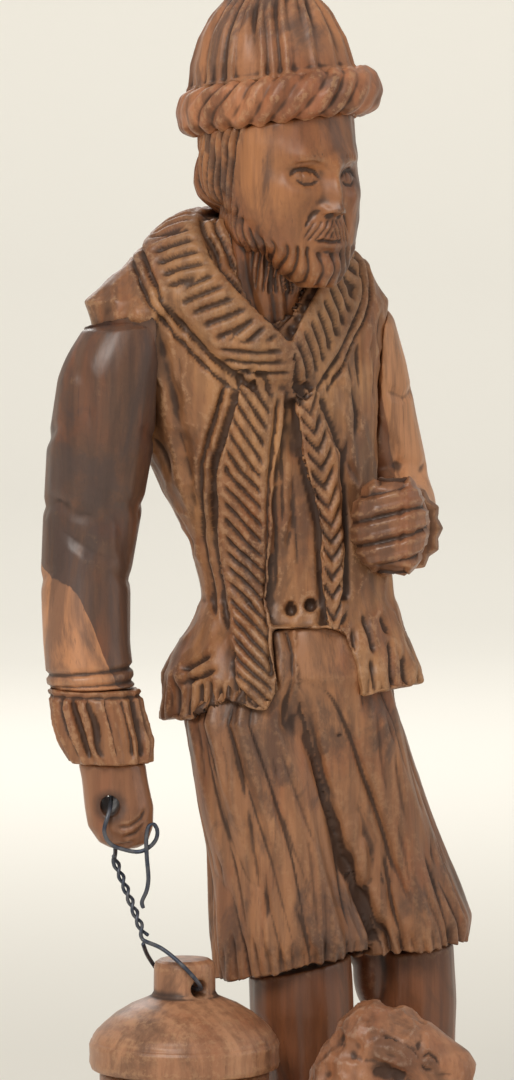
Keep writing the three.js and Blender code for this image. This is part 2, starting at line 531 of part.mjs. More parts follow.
bodies.sheep_body = cutBy(
  sheepLegSpots.reduce((b, s) => b.add(sheepLeg(s)), solid(loft(sheepBodyOvals, 24))),
  sheepHead(gap), boot(rightFoot, -14, gap));
bodies.sheep_head = sheepHead(0);
bodies.lantern_cap = cutBy(lathe(lanternCapProfile, 28, lanternSpot),
  boreCutter(neckHole, new THREE.Vector3(0, 1, 0), neckHoleRadius, 20));
bodies.lantern_body = lathe(lanternBodyProfile, 28, lanternSpot);
bodies.hanger_wire = wireSolid(hangerPoints, 76);
bodies.lantern_loop = wireSolid(loopPoints, 56);

const finish = {
  base: ['#8a5a3a', 0.62], right_boot: ['#5e3d29', 0.55], left_boot: ['#5e3d29', 0.55],
  right_calf: ['#72452c', 0.5], left_calf: ['#72452c', 0.5],
  right_trouser_leg: ['#87634a', 0.6], left_trouser_leg: ['#87634a', 0.6],
  vest: ['#9c7350', 0.6], shirt_front: ['#74523a', 0.6], fur_collar: ['#926140', 0.55],
  right_front_trim: ['#926140', 0.55], left_front_trim: ['#926140', 0.55],
  right_sleeve: ['#8a6045', 0.5], left_sleeve: ['#9a6b4a', 0.5], right_cuff: ['#926342', 0.55],
  left_cuff: ['#926342', 0.55], right_hand: ['#91654e', 0.5], left_hand: ['#7c5640', 0.5],
  neck: ['#8f5f40', 0.55], head: ['#996640', 0.5], cap_crown: ['#9a6b4a', 0.6], cap_brim: ['#a16748', 0.55],
  sheep_body: ['#996c4f', 0.6], sheep_head: ['#996c4f', 0.55], lantern_cap: ['#9d7257', 0.5],
  lantern_body: ['#805133', 0.5], hanger_wire: ['#4a5058', 0.45, 0.8], lantern_loop: ['#4a5058', 0.45, 0.8],
};

const group = new THREE.Group();
group.name = 'carved_shepherd';
for (const [name, body] of Object.entries(bodies)) {
  const [color, roughness, metalness = 0] = finish[name];
  const material = new THREE.MeshStandardMaterial({ color, roughness, metalness });
  const mesh = new THREE.Mesh(geometryOf(body), material);
  mesh.name = name;
  group.add(mesh);
}
export default group;
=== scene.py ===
import math

import bmesh
import bpy
import numpy as np
from mathutils import Matrix, Vector


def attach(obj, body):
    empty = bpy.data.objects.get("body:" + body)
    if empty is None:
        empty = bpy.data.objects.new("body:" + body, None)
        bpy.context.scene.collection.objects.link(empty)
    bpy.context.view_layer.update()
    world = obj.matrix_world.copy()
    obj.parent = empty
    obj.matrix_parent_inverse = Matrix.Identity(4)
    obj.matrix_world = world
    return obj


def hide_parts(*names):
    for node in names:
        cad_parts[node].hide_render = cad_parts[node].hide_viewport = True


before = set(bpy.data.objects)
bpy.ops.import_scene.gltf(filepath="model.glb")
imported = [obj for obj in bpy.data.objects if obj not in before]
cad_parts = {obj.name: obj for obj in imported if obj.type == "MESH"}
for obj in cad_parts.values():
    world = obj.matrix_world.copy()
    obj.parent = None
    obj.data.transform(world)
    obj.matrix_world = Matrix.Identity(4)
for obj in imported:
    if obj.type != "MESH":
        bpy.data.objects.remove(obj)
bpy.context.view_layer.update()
print("frame loaded")

mm = 0.001
viewTurn = -30.0                    # the figure is looked at from its front right, degrees
bodyMiddle = np.array([0.0, 12.0, 0.0])  # the upright line that flat sizes are measured from, mm


# small tools
def tint(red, green, blue):  # screen colour to the shader's linear one
    def one(c):
        c = c / 255
        return c / 12.92 if c <= 0.04045 else ((c + 0.055) / 1.055) ** 2.4
    return (one(red), one(green), one(blue), 1.0)


def acrossAxis(turn):
    a = math.radians(turn)
    return np.array([math.cos(a), math.sin(a), 0.0])


def towardAxis(turn):
    a = math.radians(turn)
    return np.array([math.sin(a), -math.cos(a), 0.0])


def ease(value, low, high):  # 0 below low, 1 above high
    t = np.clip((value - low) / (high - low), 0, 1)
    return t * t * (3 - 2 * t)


def hashAt(x, y, z, seed):
    n = (x * 374761393 + y * 668265263 + z * 1440662683 + seed * 974634777) & 0xFFFFFFFF
    n = ((n ^ (n >> 13)) * 1274126177) & 0xFFFFFFFF
    return ((n ^ (n >> 16)) & 0xFFFF) / 65535.0


def softNoise(points, seed=1):  # smooth noise from 0 to 1, one cell per unit
    base = np.floor(points).astype(np.int64)
    f = points - base
    f = f * f * (3 - 2 * f)
    total = 0
    for i in (0, 1):
        for j in (0, 1):
            for k in (0, 1):
                weight = (f[:, 0] if i else 1 - f[:, 0]) * (f[:, 1] if j else 1 - f[:, 1]) \
                    * (f[:, 2] if k else 1 - f[:, 2])
                total = total + weight * hashAt(base[:, 0] + i, base[:, 1] + j, base[:, 2] + k, seed)
    return total


def nearestCell(points, seed=1):  # distances to the nearest and the next scattered point
    base = np.floor(points).astype(np.int64)
    first = np.full(len(points), 9.0)
    second = np.full(len(points), 9.0)
    for i in (-1, 0, 1):
        for j in (-1, 0, 1):
            for k in (-1, 0, 1):
                x, y, z = base[:, 0] + i, base[:, 1] + j, base[:, 2] + k
                spot = np.stack([x + hashAt(x, y, z, seed), y + hashAt(x, y, z, seed + 1),
                                 z + hashAt(x, y, z, seed + 2)], 1)
                d = np.linalg.norm(points - spot, axis=1)
                second = np.minimum(second, np.maximum(first, d))
                first = np.minimum(first, d)
    return first, second


def comb(phase, share):  # a V cut in the middle of each unit of phase
    return np.clip(1 - np.abs(phase - np.floor(phase) - 0.5) * 2 / share, 0, 1)


def lineDistance(flat, line):  # distance to a bent line, and how far along it
    best = np.full(len(flat), 1e9)
    along = np.zeros(len(flat))
    side = np.zeros(len(flat))
    start = 0.0
    line = np.asarray(line, float)
    for a, b in zip(line[:-1], line[1:]):
        run = b - a
        length = np.linalg.norm(run)
        t = np.clip(((flat - a) @ run) / length ** 2, 0, 1)
        away = flat - (a + t[:, None] * run)
        d = np.linalg.norm(away, axis=1)
        near = d < best
        best = np.where(near, d, best)
        along = np.where(near, start + t * length, along)
        if flat.shape[1] == 2:
            turnSide = np.sign(run[0] * away[:, 1] - run[1] * away[:, 0])
            side = np.where(near, d * turnSide, side)
        start += length
    return best, along, start, side


# clay: CAD nodes made into one dense sculpted skin
def finishedMesh(obj):  # bakes the modifiers into the mesh
    made = bpy.data.meshes.new_from_object(obj.evaluated_get(bpy.context.evaluated_depsgraph_get()))
    obj.modifiers.clear()
    old = obj.data
    obj.data = made
    made.name = obj.name
    if old.users == 0:
        bpy.data.meshes.remove(old)
    return obj


def newPiece(name, bm):
    mesh = bpy.data.meshes.new(name)
    bm.to_mesh(mesh)
    bm.free()
    obj = bpy.data.objects.new(name, mesh)
    bpy.context.scene.collection.objects.link(obj)
    return obj


def lump(bm, centre, radii, basis):  # an egg of clay; basis gives its own three directions
    turnTo = Matrix(np.array(basis).T.tolist()).to_4x4()
    size = Matrix.Diagonal((*[r * mm for r in radii], 1))
    place = Matrix.Translation(Vector(centre) * mm) @ turnTo @ size
    bmesh.ops.create_icosphere(bm, subdivisions=3, radius=1, matrix=place)


def castClay(name, nodeNames, voxel, swell=0.2, smoothing=4, lumps=()):
    bm = bmesh.new()
    for nodeName in nodeNames:
        bm.from_mesh(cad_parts[nodeName].data)
    bmesh.ops.remove_doubles(bm, verts=bm.verts, dist=2e-6)
    bm.normal_update()
    for vert in bm.verts:
        vert.co += vert.normal * swell * mm
    for centre, radii, basis in lumps:
        lump(bm, centre, radii, basis)
    obj = newPiece(name, bm)
    remesh = obj.modifiers.new("skin", "REMESH")
    remesh.mode = "VOXEL"
    remesh.voxel_size = voxel * mm
    smooth = obj.modifiers.new("even", "SMOOTH")
    smooth.factor = 0.5
    smooth.iterations = smoothing
    finishedMesh(obj)
    form = {"obj": obj}
    refresh(form)
    form["cut"] = np.zeros(len(form["co"]))
    form["rise"] = np.zeros(len(form["co"]))
    form["sap"] = np.zeros(len(form["co"]))
    print("clay", name, len(form["co"]))
    return form


def refresh(form):  # reads places in mm and facings from the mesh
    mesh = form["obj"].data
    co = np.empty(len(mesh.vertices) * 3, np.float32)
    mesh.vertices.foreach_get("co", co)
    no = np.empty(len(mesh.vertices) * 3, np.float32)
    mesh.vertex_normals.foreach_get("vector", no)
    form["co"] = co.reshape(-1, 3).astype(float) / mm
    form["no"] = no.reshape(-1, 3).astype(float)


def store(form):
    mesh = form["obj"].data
    mesh.vertices.foreach_set("co", (form["co"] * mm).astype(np.float32).ravel())
    mesh.update()
    refresh(form)


def carve(form, depth, mark=None):  # pushes the skin in by depth (mm), and paints shade into it by mark
    form["co"] = form["co"] - form["no"] * depth[:, None]
    if mark is not None:
        form["cut"] = np.maximum(form["cut"], np.clip(mark, 0, 1))


def flatView(form, turn=viewTurn):  # across and up, as seen from that side
    return np.stack([(form["co"] - bodyMiddle) @ acrossAxis(turn), form["co"][:, 2]], 1)


def facing(form, turn=viewTurn, low=0.05, high=0.35):
    return ease(form["no"] @ towardAxis(turn), low, high)


# grooves along bent lines; the last amount paints shade into their bottoms
def strokes(form, flat, lines, width, depth, mask=1.0, taper=2.0, grooveShade=0.7):
    total = np.zeros(len(flat))
    for line in lines:
        line = np.asarray(line, float)
        low, high = line.min(0) - width, line.max(0) + width
        near = np.all((flat > low) & (flat < high), axis=1)
        if not near.any():
            continue
        d, along, length, side = lineDistance(flat[near], line)
        ends = np.clip(np.minimum(along, length - along) / taper + 0.25, 0, 1)
        total[near] = np.maximum(total[near], np.clip(1 - d / width, 0, 1) * ends)
    total = ease(total, 0, 1) * mask
    carve(form, total * depth, total * grooveShade)


def unroll(form, axisLine, radius):  # arc length round a bent upright axis, and height
    line = np.asarray(axisLine, float)
    z = form["co"][:, 2]
    cx = np.interp(z, line[:, 2], line[:, 0])
    cy = np.interp(z, line[:, 2], line[:, 1])
    angle = np.arctan2(form["co"][:, 0] - cx, -(form["co"][:, 1] - cy))  # 0 at the front
    return np.stack([angle * radius, z], 1), angle


# hollows at scattered points; their bowls get painted shade and the ridges between them painted light
def scoops(form, size, depth, mask=1.0, stretch=(1, 1, 1), seed=1, mark=0.35):
    points = form["co"] / (size * np.array(stretch))
    first, second = nearestCell(points, seed)
    bowl = np.clip(1 - (first / 0.62) ** 2, 0, 1)
    edge = np.clip(1 - (second - first) / 0.12, 0, 1)
    carve(form, (bowl * depth - edge * depth * 0.1) * mask)
    # painted light on the ridges between hollows, and painted shade in the bowls
    form["rise"] = np.maximum(form["rise"], edge * mask * 0.2)
    form["cut"] = np.maximum(form["cut"], bowl * mark * mask)


def wobble(form, size, depth, stretch=(1, 1, 1), seed=1, mask=1.0):
    n = softNoise(form["co"] / (size * np.array(stretch)), seed) - 0.5
    carve(form, n * 2 * depth * mask)


def hollowness(form, passes):  # how far each point stands above its neighbours' mean, mm
    mesh = form["obj"].data
    ends = np.empty(len(mesh.edges) * 2, np.int32)
    mesh.edges.foreach_get("vertices", ends)
    a, b = ends[0::2], ends[1::2]
    count = np.bincount(ends, minlength=len(form["co"]))[:, None]
    mean = form["co"]
    for i in range(passes):
        mean = np.stack([np.bincount(a, mean[b, k], len(mean)) + np.bincount(b, mean[a, k], len(mean))
                         for k in range(3)], 1) / count
    return np.sum((form["co"] - mean) * form["no"], 1)


def bank(form):  # writes the records that the finish reads (painted shade in hollows and cuts with stains, painted light on edges and ridges with dust, sapwood), and smooth shading
    store(form)
    mesh = form["obj"].data
    near, far = hollowness(form, 6), hollowness(form, 40)
    # hollows get painted shade and bulges painted light, at a near and a far size
    form["cut"] = form["cut"] * 0.45 + ease(-near, 0.02, 0.13) * 0.4 + ease(-far, 0.05, 0.5) * 0.45
    form["rise"] = form["rise"] * 0.5 + ease(near, 0.02, 0.12) * 0.5 + ease(far, 0.08, 0.4) * 0.35
    for key in ("cut", "rise", "sap"):
        layer = mesh.attributes.get(key) or mesh.attributes.new(key, "FLOAT", "POINT")
        layer.data.foreach_set("value", np.clip(form[key], 0, 1).astype(np.float32))
    mesh.shade_smooth()


# finishes
def woodFinish(name, wood):
    mat = bpy.data.materials.new(name)
    mat.use_nodes = True
    tree = mat.node_tree
    nodes, links = tree.nodes, tree.links
    nodes.clear()
    out = nodes.new("ShaderNodeOutputMaterial")
    shader = nodes.new("ShaderNodeBsdfPrincipled")
    links.new(shader.outputs[0], out.inputs[0])
    shader.inputs["Coat Weight"].default_value = wood["varnish"]
    shader.inputs["Coat Roughness"].default_value = 0.32
    shader.inputs["Specular IOR Level"].default_value = 0.45
    place = nodes.new("ShaderNodeTexCoord").outputs["Object"]

    def stretched(scale, spin=(0, 0, 0)):
        node = nodes.new("ShaderNodeMapping")
        node.inputs["Scale"].default_value = scale
        node.inputs["Rotation"].default_value = spin
        links.new(place, node.inputs[0])
        return node.outputs[0]

    def noise(vector, scale, detail, rough=0.55, twist=0.0):
        node = nodes.new("ShaderNodeTexNoise")
        node.inputs["Scale"].default_value = scale
        node.inputs["Detail"].default_value = detail
        node.inputs["Roughness"].default_value = rough
        node.inputs["Distortion"].default_value = twist
        links.new(vector, node.inputs["Vector"])
        return node.outputs[0]

    def ramp(value, low, high, first=0.0, last=1.0):
        node = nodes.new("ShaderNodeMapRange")
        node.interpolation_type = "SMOOTHSTEP"
        for socket, number in zip(node.inputs[1:5], (low, high, first, last)):
            socket.default_value = number
        links.new(value, node.inputs[0])
        return node.outputs[0]

    def blendTo(factor, below, above, mode="MIX"):
        node = nodes.new("ShaderNodeMix")
        node.data_type = "RGBA"
        node.blend_type = mode
        for socket, source in ((node.inputs[0], factor), (node.inputs[6], below), (node.inputs[7], above)):
            if isinstance(source, (float, int)):
                socket.default_value = source
            elif isinstance(source, tuple):
                socket.default_value = source
            else:
                links.new(source, socket)
        return node.outputs[2]

    def sums(kind, one, two):
        node = nodes.new("ShaderNodeMath")
        node.operation = kind
        for socket, source in zip(node.inputs, (one, two)):
            if isinstance(source, (float, int)):
                socket.default_value = source
            else:
                links.new(source, socket)
        return node.outputs[0]

    # reads a stored record: painted shade with stains, painted light with dust, or sapwood
    def surfaceRecord(key):
        node = nodes.new("ShaderNodeAttribute")
        node.attribute_name = key
        return node.outputs["Fac"]

    lean = (0.03, -0.05, 0.0)
    broad = noise(stretched((1, 1, 0.35), lean), 55, 3, 0.5, 0.4)         # slow patches of tone
    patch = noise(stretched((1, 1, 0.5), (0.4, 0.2, 0)), 90, 4, 0.6, 0.8)   # redder and darker stains
    stain = noise(stretched((1, 1, 0.45), (0.1, -0.3, 0)), 62, 6, 0.62, 1.4)
    streak = noise(stretched((1, 1, 0.07), lean), 620, 5, 0.62, 0.2)      # long fibres
    fine = noise(stretched((1, 1, 0.05), lean), 2300, 4, 0.6)             # short pores
    speck = noise(stretched((1, 1, 1)), 900, 4, 0.7)
    rings = nodes.new("ShaderNodeTexWave")                                # growth rings round the log
    rings.wave_type = "RINGS"
    rings.rings_direction = "Z"
    rings.inputs["Scale"].default_value = 95
    rings.inputs["Distortion"].default_value = 5.5
    rings.inputs["Detail"].default_value = 3
    rings.inputs["Detail Scale"].default_value = 0.6
    links.new(stretched((1, 1, 0.16), lean), rings.inputs["Vector"])

    colour = blendTo(ramp(broad, 0.35, 0.68), wood["mid"], wood["light"])
    colour = blendTo(ramp(patch, 0.45, 0.7, 0.0, 0.55), colour, wood["red"])
    colour = blendTo(ramp(streak, 0.42, 0.7, 0.0, 0.42), colour, wood["dark"])
    colour = blendTo(ramp(rings.outputs[1], 0.45, 0.95, 0.0, 0.25), colour, wood["dark"])
    if "pale" in wood:
        edge = sums("ADD", surfaceRecord("sap"), sums("MULTIPLY", sums("SUBTRACT", streak, 0.5), 0.9))
        pale = blendTo(ramp(streak, 0.4, 0.75, 0.0, 0.4), wood["pale"], wood["mid"])
        colour = blendTo(ramp(edge, 0.42, 0.58), colour, pale)
    if wood["deepShare"]:
        colour = blendTo(ramp(stain, 0.48, 0.62, 0.0, wood["deepShare"]), colour, wood["deep"])
    colour = blendTo(ramp(fine, 0.6, 0.74, 0.0, 0.45), colour, wood["dark"])
    # painted light on edges and ridges, mixed with specks of dust
    edgeLightAndDustMask = sums("MULTIPLY", surfaceRecord("rise"), ramp(speck, 0.4, 0.62, 0.1, 1.0))
    colour = blendTo(ramp(edgeLightAndDustMask, 0.15, 0.9, 0.0, wood["dustShare"]), colour, wood["dust"])
    # painted shade in hollows and cuts, mixed with stains and specks of grime
    shadeAndGrime = sums("ADD", surfaceRecord("cut"), sums("MULTIPLY", sums("SUBTRACT", speck, 0.5), 0.35))
    colour = blendTo(ramp(shadeAndGrime, 0.1, 0.95, 0.0, wood["shadeAndGrimeShare"]), colour, wood["shadeAndGrime"])
    links.new(colour, shader.inputs["Base Color"])
    gloss = sums("ADD", ramp(broad, 0.3, 0.7, wood["gloss"], wood["gloss"] + 0.14),
                 sums("MULTIPLY", surfaceRecord("cut"), 0.25))
    links.new(gloss, shader.inputs["Roughness"])
    height = sums("ADD", sums("MULTIPLY", streak, 0.6), sums("MULTIPLY", fine, 0.5))
    height = sums("ADD", height, sums("MULTIPLY", speck, 0.45))
    bump = nodes.new("ShaderNodeBump")
    bump.inputs["Strength"].default_value = wood["tooth"]
    bump.inputs["Distance"].default_value = 0.00022
    links.new(height, bump.inputs["Height"])
    links.new(bump.outputs[0], shader.inputs["Normal"])
    return mat


def woodOf(**changes):
    # the grime colour is painted shade in hollows and cuts as well as grime; the dust colour is painted light
    # on edges and ridges as well as dust
    wood = {"light": tint(184, 124, 76), "mid": tint(154, 96, 56), "dark": tint(98, 60, 38),
            "red": tint(140, 78, 45), "deep": tint(84, 56, 40), "deepShare": 0.55, "shadeAndGrime": tint(48, 29, 20),
            "shadeAndGrimeShare": 0.85, "dust": tint(190, 146, 108), "dustShare": 0.4, "varnish": 0.22, "gloss": 0.42,
            "tooth": 0.55}
    wood.update(changes)
    return wood


def dress(form, body, nodeNames, mat):
    obj = form["obj"] if isinstance(form, dict) else form
    obj.data.materials.clear()
    obj.data.materials.append(mat)
    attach(obj, body)
    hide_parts(*nodeNames)


# trunk: vest, shirt, front bands and collar

trunkSizes = {"voxel": 0.47, "scoopSize": 4.2, "scoopDepth": 0.45, "collarHalf": 5.4, "collarPitch": 2.75,
              "hatchDepth": 0.95, "trimPitch": 3.0}
shoulderBasis = (np.array([0.94, 0, 0.34]), np.array([0, 1.0, 0]), np.array([-0.34, 0, 0.94]))
shoulders = [(np.array([-31.0, 13.6, 189.6]), (7.4, 8.6, 3.8), shoulderBasis),
             (np.array([-27.0, 13.6, 193.0]), (7.4, 8.6, 4.2), shoulderBasis)]
trunkNodes = ["vest", "shirt_front", "fur_collar", "right_front_trim", "left_front_trim"]
trunk = castClay("trunkCarving", trunkNodes, trunkSizes["voxel"], 0.24, 5, shoulders)
collarPath = np.array([
    [-9.5, 22.6, 205.5], [-19.5, 19.2, 205], [-24.8, 12, 202], [-25, 4.5, 194], [-18.5, 0.2, 185.5],
    [-8.4, -1.8, 177.8], [-1.2, 0, 185.5], [5, 3.5, 194], [5.8, 11.5, 202], [0.8, 19.2, 205],
    [-9.5, 22.6, 205.5]])
collarMiddle = np.array([-9.5, 14.5, 186.0])


def collarPlace(points):  # how far round the collar, and how far across its band
    best = np.full(len(points), 1e9)
    along = np.zeros(len(points))
    across = np.zeros(len(points))
    start = 0.0
    for a, b in zip(collarPath[:-1], collarPath[1:]):
        run = b - a
        length = np.linalg.norm(run)
        run = run / length
        t = np.clip((points - a) @ run, 0, length)
        away = points - (a + t[:, None] * run)
        d = np.linalg.norm(away, axis=1)
        out = (a + b) / 2 - collarMiddle
        out = out - run * (out @ run)
        side = np.cross(run, out / np.linalg.norm(out))
        near = d < best
        best = np.where(near, d, best)
        along = np.where(near, start + t, along)
        across = np.where(near, away @ side, across)
        start += length
    return best, along, across


def carveTrunk():
    co = trunk["co"]
    best, along, across = collarPlace(co)
    half = trunkSizes["collarHalf"]
    onCollar = ease(-best, -half - 1.4, -half - 0.2)
    flat = flatView(trunk)
    front = facing(trunk)
    onTrim = np.zeros(len(co))
    ground = 1 - onCollar
    wobble(trunk, 14, 0.5, (1, 1, 2), 3, ground)
    scoops(trunk, trunkSizes["scoopSize"], trunkSizes["scoopDepth"], ground, (1, 1, 1.6), 5, 0.2)
    ragged = softNoise(co / 5, 44)
    # right front band: slanted cuts, ragged and lens shaped
    rightLine = [(-6.4, 175.5), (-8.8, 160), (-8.6, 147), (-7.4, 131), (-6.6, 116.8)]
    d, s, length, q = lineDistance(flat, rightLine)
    band = ease(-d, -4.3 + ragged, -2.9) * front
    phase = (s - q * 1.05) / trunkSizes["trimPitch"] + 0.35 * softNoise(co / 7, 8)
    hatch = ease(comb(phase, 0.72), 0, 1) * band
    carve(trunk, hatch * trunkSizes["hatchDepth"], hatch * 0.8)
    onTrim = np.maximum(onTrim, band)
    edges = [[(-9.6, 176), (-14.3, 160), (-14.2, 147), (-11.6, 131)],
             [(-11.6, 176.5), (-16.6, 161), (-16.6, 147), (-13.8, 133)],
             [(-2, 174), (-3.9, 158), (-4.6, 136), (-3.2, 122)]]
    strokes(trunk, flat, edges, 1.05, 1.2, front, 3)
    # left front band: chevrons
    leftLine = [(3, 175), (5.6, 163.5), (7.6, 150.5), (7.9, 136), (8.2, 131.5)]
    d, s, length, q = lineDistance(flat, leftLine)
    band = ease(-d, -2.7, -1.9) * front
    hatch = ease(comb((s + np.abs(q) * 1.5) / 3.4 + 0.3 * softNoise(co / 8, 12), 0.75), 0, 1) * band
    carve(trunk, hatch * 0.8, hatch * 0.8)
    strokes(trunk, flat, [[(0.4, 174), (1.8, 163), (4.8, 150), (5.6, 136), (6.2, 132)],
                          [(5.8, 174), (9.6, 163), (10.4, 150), (10.4, 136)]], 0.9, 1.0, front)
    # shirt: faint upright cuts and two small drilled holes
    shirtLines = [[(-1.6, 168), (-1.4, 150)], [(0.4, 160), (1.4, 142)], [(-2.6, 152), (-2.6, 138)]]
    strokes(trunk, flat, shirtLines, 0.6, 0.4, front, 3, 0.4)
    for spot in ((0.0, 135.0), (3.7, 135.6)):
        d = np.hypot(flat[:, 0] - spot[0], flat[:, 1] - spot[1])
        hole = ease(1.5 - d, 0, 0.9) * front
        carve(trunk, hole * 1.9, hole * 1.8)
    # skirt: slanted slashes over a fringe of upright cuts
    slashes = [[(-20.5, 123.4), (-14.4, 126.7)], [(-21.2, 120.6), (-13.6, 124.2)]]
    strokes(trunk, flat, slashes, 1.0, 1.3, front, 2, 1.2)
    fringe = [[(u, top), (u - 0.2, 113)] for u, top in
              ((-21.4, 120.6), (-18.9, 121.4), (-16.9, 121.8), (-14.8, 122.4), (-12.9, 121), (-11.3, 119.5))]
    strokes(trunk, flat, fringe, 0.85, 1.1, front, 2, 0.9)
    left = [[(11.4, 131.6), (11.8, 126.6)], [(13.4, 134), (15.6, 126.5)], [(14.8, 126), (15.8, 119)],
            [(18.2, 129), (19.2, 120)], [(21, 126.4), (22, 120.4)], [(16.4, 133.8), (18.4, 129.6)]]
    strokes(trunk, flat, left, 0.9, 1.1, front, 2, 0.6)
    # shallow hollows over the sides and the back, and a fringe at the back hem
    rng = np.random.default_rng(4)
    for turn in (-75, 15, 60, 105, 150, 195, 240):
        side = flatView(trunk, turn)
        mask = facing(trunk, turn, 0.45, 0.75) * ground * (1 - onTrim)
        lines = []
        for i in range(14):
            u, z, long = rng.uniform(-24, 24), rng.uniform(126, 192), rng.uniform(6, 15)
            lines.append([(u, z), (u + rng.uniform(-1.5, 1.5), z - long / 2),
                          (u + rng.uniform(-3, 3), z - long)])
        strokes(trunk, side, lines, 1.1, 0.55, mask, 5, 0.25)
        hem = [[(u, 122 + rng.uniform(-2, 2)), (u + rng.uniform(-1, 1), 112)]
               for u in np.arange(-24, 24, 2.7)]
        strokes(trunk, side, hem, 0.85, 0.7, mask, 3, 0.5)
    folds = [[(-24, 186), (-22, 176), (-20, 166)], [(-21, 170), (-18.5, 158), (-17, 146)],
             [(-26.5, 178), (-25, 168), (-22, 158)], [(12, 186), (13.5, 176), (13, 166)],
             [(9.5, 160), (12, 152)]]
    strokes(trunk, flat, folds, 2.2, 0.8, front * (1 - onTrim), 6, 0.25)
    store(trunk)
    # collar: short lens-shaped cuts, a plain border, and a crossing with level cuts
    crossing = ease(184.6 - co[:, 2], 0, 1.6) * (flat[:, 0] < 0.5)
    hatch = comb(along / trunkSizes["collarPitch"] + across * 0.1 + 0.5 * softNoise(co / 9, 21), 0.85)
    lens = ease(half - 0.9 - np.abs(across + 0.5), -0.2, 1.8) * onCollar * (1 - crossing)
    hatch = ease(hatch, 0.1, 1) * lens
    carve(trunk, hatch * trunkSizes["hatchDepth"], hatch * 1.0)
    level = [[(-13.4, 182.2), (-6, 181.6), (-1, 182)], [(-12.6, 180.2), (-6, 179.6), (-0.6, 180)],
             [(-10.6, 178.3), (-5, 177.7), (0, 178)], [(-14, 184.2), (-8, 183.8), (-4, 184.4)]]
    strokes(trunk, flat, level, 0.75, 0.8, front * crossing, 2, 0.8)
    border = np.clip(1 - np.abs(best - half - 0.9) / 0.8, 0, 1)
    border = border + np.clip(1 - np.abs(best - half - 3) / 0.75, 0, 1) * 0.9
    shown = ease(co[:, 2], 173, 178) * (0.35 + 0.65 * front)
    carve(trunk, ease(border, 0, 1) * 1.0 * shown, ease(border, 0, 1) * 0.8 * shown)
    trunk["cut"] = np.maximum(trunk["cut"], onCollar * (0.45 + 0.5 * softNoise(co / 5, 61)))
    # painted light on the uncut parts between the collar's cuts
    trunk["rise"] = np.maximum(trunk["rise"], (1 - hatch) * lens * 0.2)
    trunk["rise"] = np.maximum(trunk["rise"], ease(softNoise(co / 10, 31), 0.55, 0.8) * ground * 0.7)
    wobble(trunk, 1.4, 0.07, (1, 1, 2.5), 9)
    bank(trunk)


carveTrunk()
vestWood = woodFinish("vestWood", woodOf(
    light=tint(184, 133, 88), mid=tint(150, 100, 64), dark=tint(92, 60, 41), dustShare=0.45))
dress(trunk, "figure", trunkNodes, vestWood)
print("trunk carved")


# head and neck

headSizes = {"voxel": 0.26, "turn": 8, "tilt": 14, "middle": (-7.2, 3.2, 216.0), "strand": 1.7}
headSide = acrossAxis(headSizes["turn"])
level = towardAxis(headSizes["turn"])
tilt = math.radians(headSizes["tilt"])
headFront = level * math.cos(tilt) - np.array([0, 0, 1.0]) * math.sin(tilt)
headUp = np.array([0, 0, 1.0]) * math.cos(tilt) + level * math.sin(tilt)
headBasis = (headSide, headFront, headUp)


def headSpot(side, forward, up):
    return np.array(headSizes["middle"]) + headSide * side + headFront * forward + headUp * up


def bothSides(side, forward, up, radii):
    return [(headSpot(s * side, forward, up), radii, headBasis) for s in (-1, 1)]


headLumps = [
    (headSpot(0, -9.0, -4.0), (11.4, 6.4, 8.6), headBasis),
    (headSpot(0, 9.2, -14.6), (5.4, 4.4, 4.6), headBasis),
    *bothSides(10.4, -3.0, -0.8, (3.4, 6.4, 7.4)), *bothSides(7.8, 4.4, -9.6, (3.6, 5.6, 5.6)),
]
head = castClay("headCarving", ["head", "neck"], headSizes["voxel"], 0.24, 12, headLumps)

# plain grown-up face on the usual thirds: across, up, half-width, half-height, push forward
faceMounds = [
    (4.6, 4.0, 4.0, 1.7, 1.3), (0.0, 3.6, 2.2, 2.2, 0.7), (4.9, 1.1, 3.1, 1.9, -2.0),
    (4.8, 0.7, 1.9, 1.1, 1.35), (0.0, 0.6, 1.3, 3.0, 1.5), (0.0, -2.4, 1.5, 2.4, 2.0),
    (0.0, -4.4, 1.6, 1.3, 2.2), (1.9, -4.8, 1.0, 0.95, 1.3), (7.0, -2.4, 3.0, 2.4, 1.0),
    (3.9, -6.6, 1.5, 2.4, -0.5), (0.0, -7.9, 4.4, 1.6, 1.2), (0.0, -9.7, 2.7, 0.7, 0.7),
    (0.0, -11.0, 2.2, 0.8, 0.8), (0.0, -12.9, 3.0, 1.0, -0.6), (0.0, -15.6, 4.2, 2.6, 1.2),
    (9.6, 5.0, 2.4, 4.0, -0.5),
]


